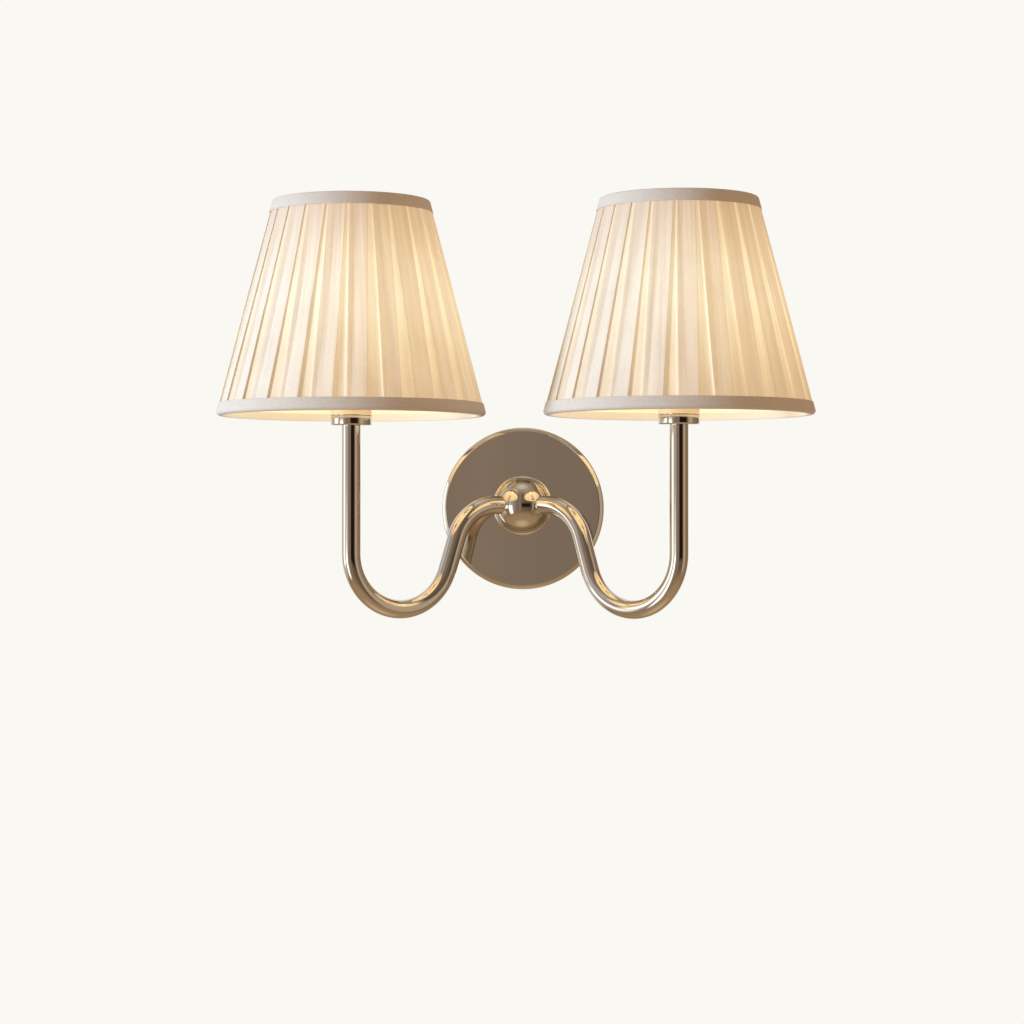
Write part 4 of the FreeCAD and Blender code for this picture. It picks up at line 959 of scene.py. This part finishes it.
class WALLLIGHT_OT_stage(Operator):
    """Pale floor, soft studio light, the pale surroundings and the camera"""

    bl_idname = "wall_light.stage"
    bl_label = "Stage"

    def execute(self, context):
        self.floor()
        self.surroundings()
        self.window()
        self.camera()
        return {"FINISHED"}

    def floor(self):
        """The floor lies under the wall light and shows the backdrop's colour to the camera."""
        half_side, drop, glow = 4, 1.5, 0.965
        mesh = bmesh.new()
        bmesh.ops.create_grid(mesh, x_segments=1, y_segments=1, size=half_side,
                              matrix=Matrix.Translation((0, 0, -drop)))
        data = bpy.data.meshes.new("floor")
        mesh.to_mesh(data)
        mesh.free()
        floor = new_object("floor", data)
        pale = linear(light().finish.backdrop)
        material, tree, shader = new_material(
            "painted_floor", {"Base Color": linear("#3A3834"), "Roughness": 0.9, "Emission Color": pale}
        )
        seen = add_node(tree, "LightPath", output="Is Camera Ray")
        feed(tree, shader, {"Emission Strength": add_node(tree, "Math", (seen, glow), operation="MULTIPLY")})
        data.materials.append(material)
        # The dark floor would turn the metal's underside black
        floor.visible_glossy = floor.visible_diffuse = False

    def window(self):
        """A tall soft light to the left. Metal mirrors the windows of the surroundings instead."""
        lamp = bpy.data.lights.new("window", "AREA")
        lamp.shape = "RECTANGLE"
        lamp.size, lamp.size_y = 0.7, 1.55
        lamp.energy = 88
        lamp.color = linear("#EEF8FF")[:3]
        box = new_object("window", lamp)
        box.location = (-2.65, -1.41, 0.17)
        aim = Vector((0, -0.05, 0.05)) - box.location
        box.rotation_euler = aim.to_track_quat("-Z", "Y").to_euler()
        box.visible_glossy = False

    def surroundings(self):
        """Camera and glass see the pale backdrop. Light and mirror see a studio: the pale backdrop
        behind the object, and the room in front of it, by the angle round the object."""
        world = bpy.data.worlds.new("studio")
        bpy.context.scene.world = world
        world.use_nodes = True
        tree = world.node_tree
        tree.nodes.clear()
        way = add_node(tree, "TexCoord", output="Generated")
        x, y, z = (add_node(tree, "SeparateXYZ", (way,), axis) for axis in "XYZ")
        front, depth = (add_node(tree, "Math", (part, -1.0), operation="MULTIPLY") for part in (y, z))
        angle = add_node(tree, "Math", (x, front), operation="ARCTAN2")
        turn = add_node(tree, "MapRange", (angle, -pi, pi))
        # Degrees from straight in front of the object, to its right. The first row is what polished
        # metal mirrors, the second what lights the cloth.
        mirrored = [
            (-180, "#FAF8F2"), (-135, "#FAF8F2"), (-125, "#CDCBC6"), (-104, "#CDCBC6"), (-83, "#E6E7F0"),
            (-67, "#A5A1A3"), (-53, "#D6D0D2"), (-40, "#BDB3B0"), (-28, "#A2958E"), (-14, "#8A7A6E"),
            (-6, "#9C8B7D"), (-3, "#938378"), (1, "#938378"), (6, "#7A6A5A"), (40, "#75655A"),
            (46, "#5D4F41"), (59, "#CCBAA5"), (74, "#CBBAA5"), (90, "#9C8168"), (108, "#A1866E"),
            (132, "#7C6552"), (150, "#FAF8F2"), (180, "#FAF8F2"),
        ]
        lighting = [
            (-180, "#BCBBB9"), (-75, "#BCBBB9"), (-40, "#A0907C"), (5, "#A0907C"), (30, "#DEAC7A"),
            (60, "#C09E7A"), (150, "#C09E7A"), (180, "#BCBBB9"),
        ]
        rows = [[((at + 180) / 360, code) for at, code in row] for row in (mirrored, lighting)]
        mirror, soft = (add_node(tree, "ValToRGB", (turn,), stops=row) for row in rows)
        # Tubes that stand upright mirror a dark strip of the room at their own height
        dark = linear("#2A1D12")
        mirror = self.patch(tree, mirror, dark, (angle, 1, 5, 40, 46), (z, -0.2, -0.1, 0.1, 0.2))
        ceiling = [(0.8, "#A8957F"), (0.93, "#B8A690"), (1.0, "#E8E0D4")]
        ground = [(0.5, "#9F8564"), (0.7, "#B1967A"), (0.9, "#B89C7A"), (1.0, "#E2C8A8")]
        for height, low, high, stops in ((z, 0.72, 0.88, ceiling), (depth, 0.35, 0.55, ground)):
            beyond = add_node(tree, "ValToRGB", (height,), stops=stops)
            reach = add_node(tree, "MapRange", (height, low, high))
            mirror = add_node(tree, "Mix", {0: reach, 6: mirror, 7: beyond}, 2, data_type="RGBA")
        # Two windows as metal mirrors them, brighter than white
        for bright, across, up in ((2.2, (-62, -55, -43, -36), (-0.6, -0.5, -0.04, 0.02)),
                                   (2.0, (-100, -96, -74, -68), (-0.3, -0.2, 0.3, 0.4))):
            pane = (bright, bright, bright, 1.0)
            mirror = self.patch(tree, mirror, pane, (angle, *across), (z, *up))
        kinds = ("Glossy", "Camera", "Transmission")
        glossy, camera, through = (add_node(tree, "LightPath", output=f"Is {kind} Ray") for kind in kinds)
        studio = add_node(tree, "Mix", {0: glossy, 6: soft, 7: mirror}, 2, data_type="RGBA")
        seen = add_node(tree, "Math", (camera, through), operation="MAXIMUM")
        pale = linear(light().finish.backdrop)
        both = add_node(tree, "Mix", {0: seen, 6: studio, 7: pale}, 2, data_type="RGBA")
        add_node(tree, "OutputWorld", (add_node(tree, "Background", (both, 1.0)),))

    def patch(self, tree, base, colour, across, up):
        """Lays a patch of colour over the base. Across holds the angle, and up the share of straight
        up, each with where the patch starts, is full, begins to fade and ends."""
        factor = 1.0
        for value, *places in ((across[0], *map(radians, across[1:])), up):
            start, full, fade, end = places
            rise = add_node(tree, "MapRange", (value, start, full))
            fall = add_node(tree, "MapRange", (value, fade, end, 1.0, 0.0))
            for share in (rise, fall):
                factor = add_node(tree, "Math", (factor, share), operation="MULTIPLY")
        return add_node(tree, "Mix", {0: factor, 6: base, 7: colour}, 2, data_type="RGBA")

    def camera(self):
        lens = bpy.data.cameras.new("camera")
        lens.lens, lens.sensor_width = 88.84, 36
        camera = new_object("camera", lens)
        camera.location = (0.107, -1.693, -0.0153)
        camera.rotation_euler = (radians(90 + 0.44), 0, radians(3.89))
        bpy.context.scene.camera = camera
        bpy.context.scene.view_settings.view_transform = "Standard"


class WALLLIGHT_PT_build(Panel):
    """Lists the steps that build the wall light"""

    bl_idname = "WALLLIGHT_PT_build"
    bl_label = "Wall Light"
    bl_space_type = "VIEW_3D"
    bl_region_type = "UI"
    bl_category = "Wall Light"

    def draw(self, context):
        for step in STEPS:
            self.layout.operator(step.bl_idname, text=step.bl_label)


STEPS = [
    WALLLIGHT_OT_plate, WALLLIGHT_OT_hub, WALLLIGHT_OT_arms, WALLLIGHT_OT_cups, WALLLIGHT_OT_bulbs,
    WALLLIGHT_OT_shade_frames, WALLLIGHT_OT_linings, WALLLIGHT_OT_covers, WALLLIGHT_OT_bindings,
    WALLLIGHT_OT_fixings, WALLLIGHT_OT_stage,
]
CLASSES = [PlateSizes, ArmSizes, LampSizes, ShadeSizes, Finishes, WallLight, *STEPS, WALLLIGHT_PT_build]


def register():
    for cls in CLASSES:
        bpy.utils.register_class(cls)
    bpy.types.Scene.wall_light = PointerProperty(type=WallLight)


def unregister():
    del bpy.types.Scene.wall_light
    for cls in reversed(CLASSES):
        bpy.utils.unregister_class(cls)


def main():
    register()
    for step in STEPS:
        getattr(bpy.ops.wall_light, step.bl_idname.split(".")[1])()


if __name__ == "__main__":
    main()
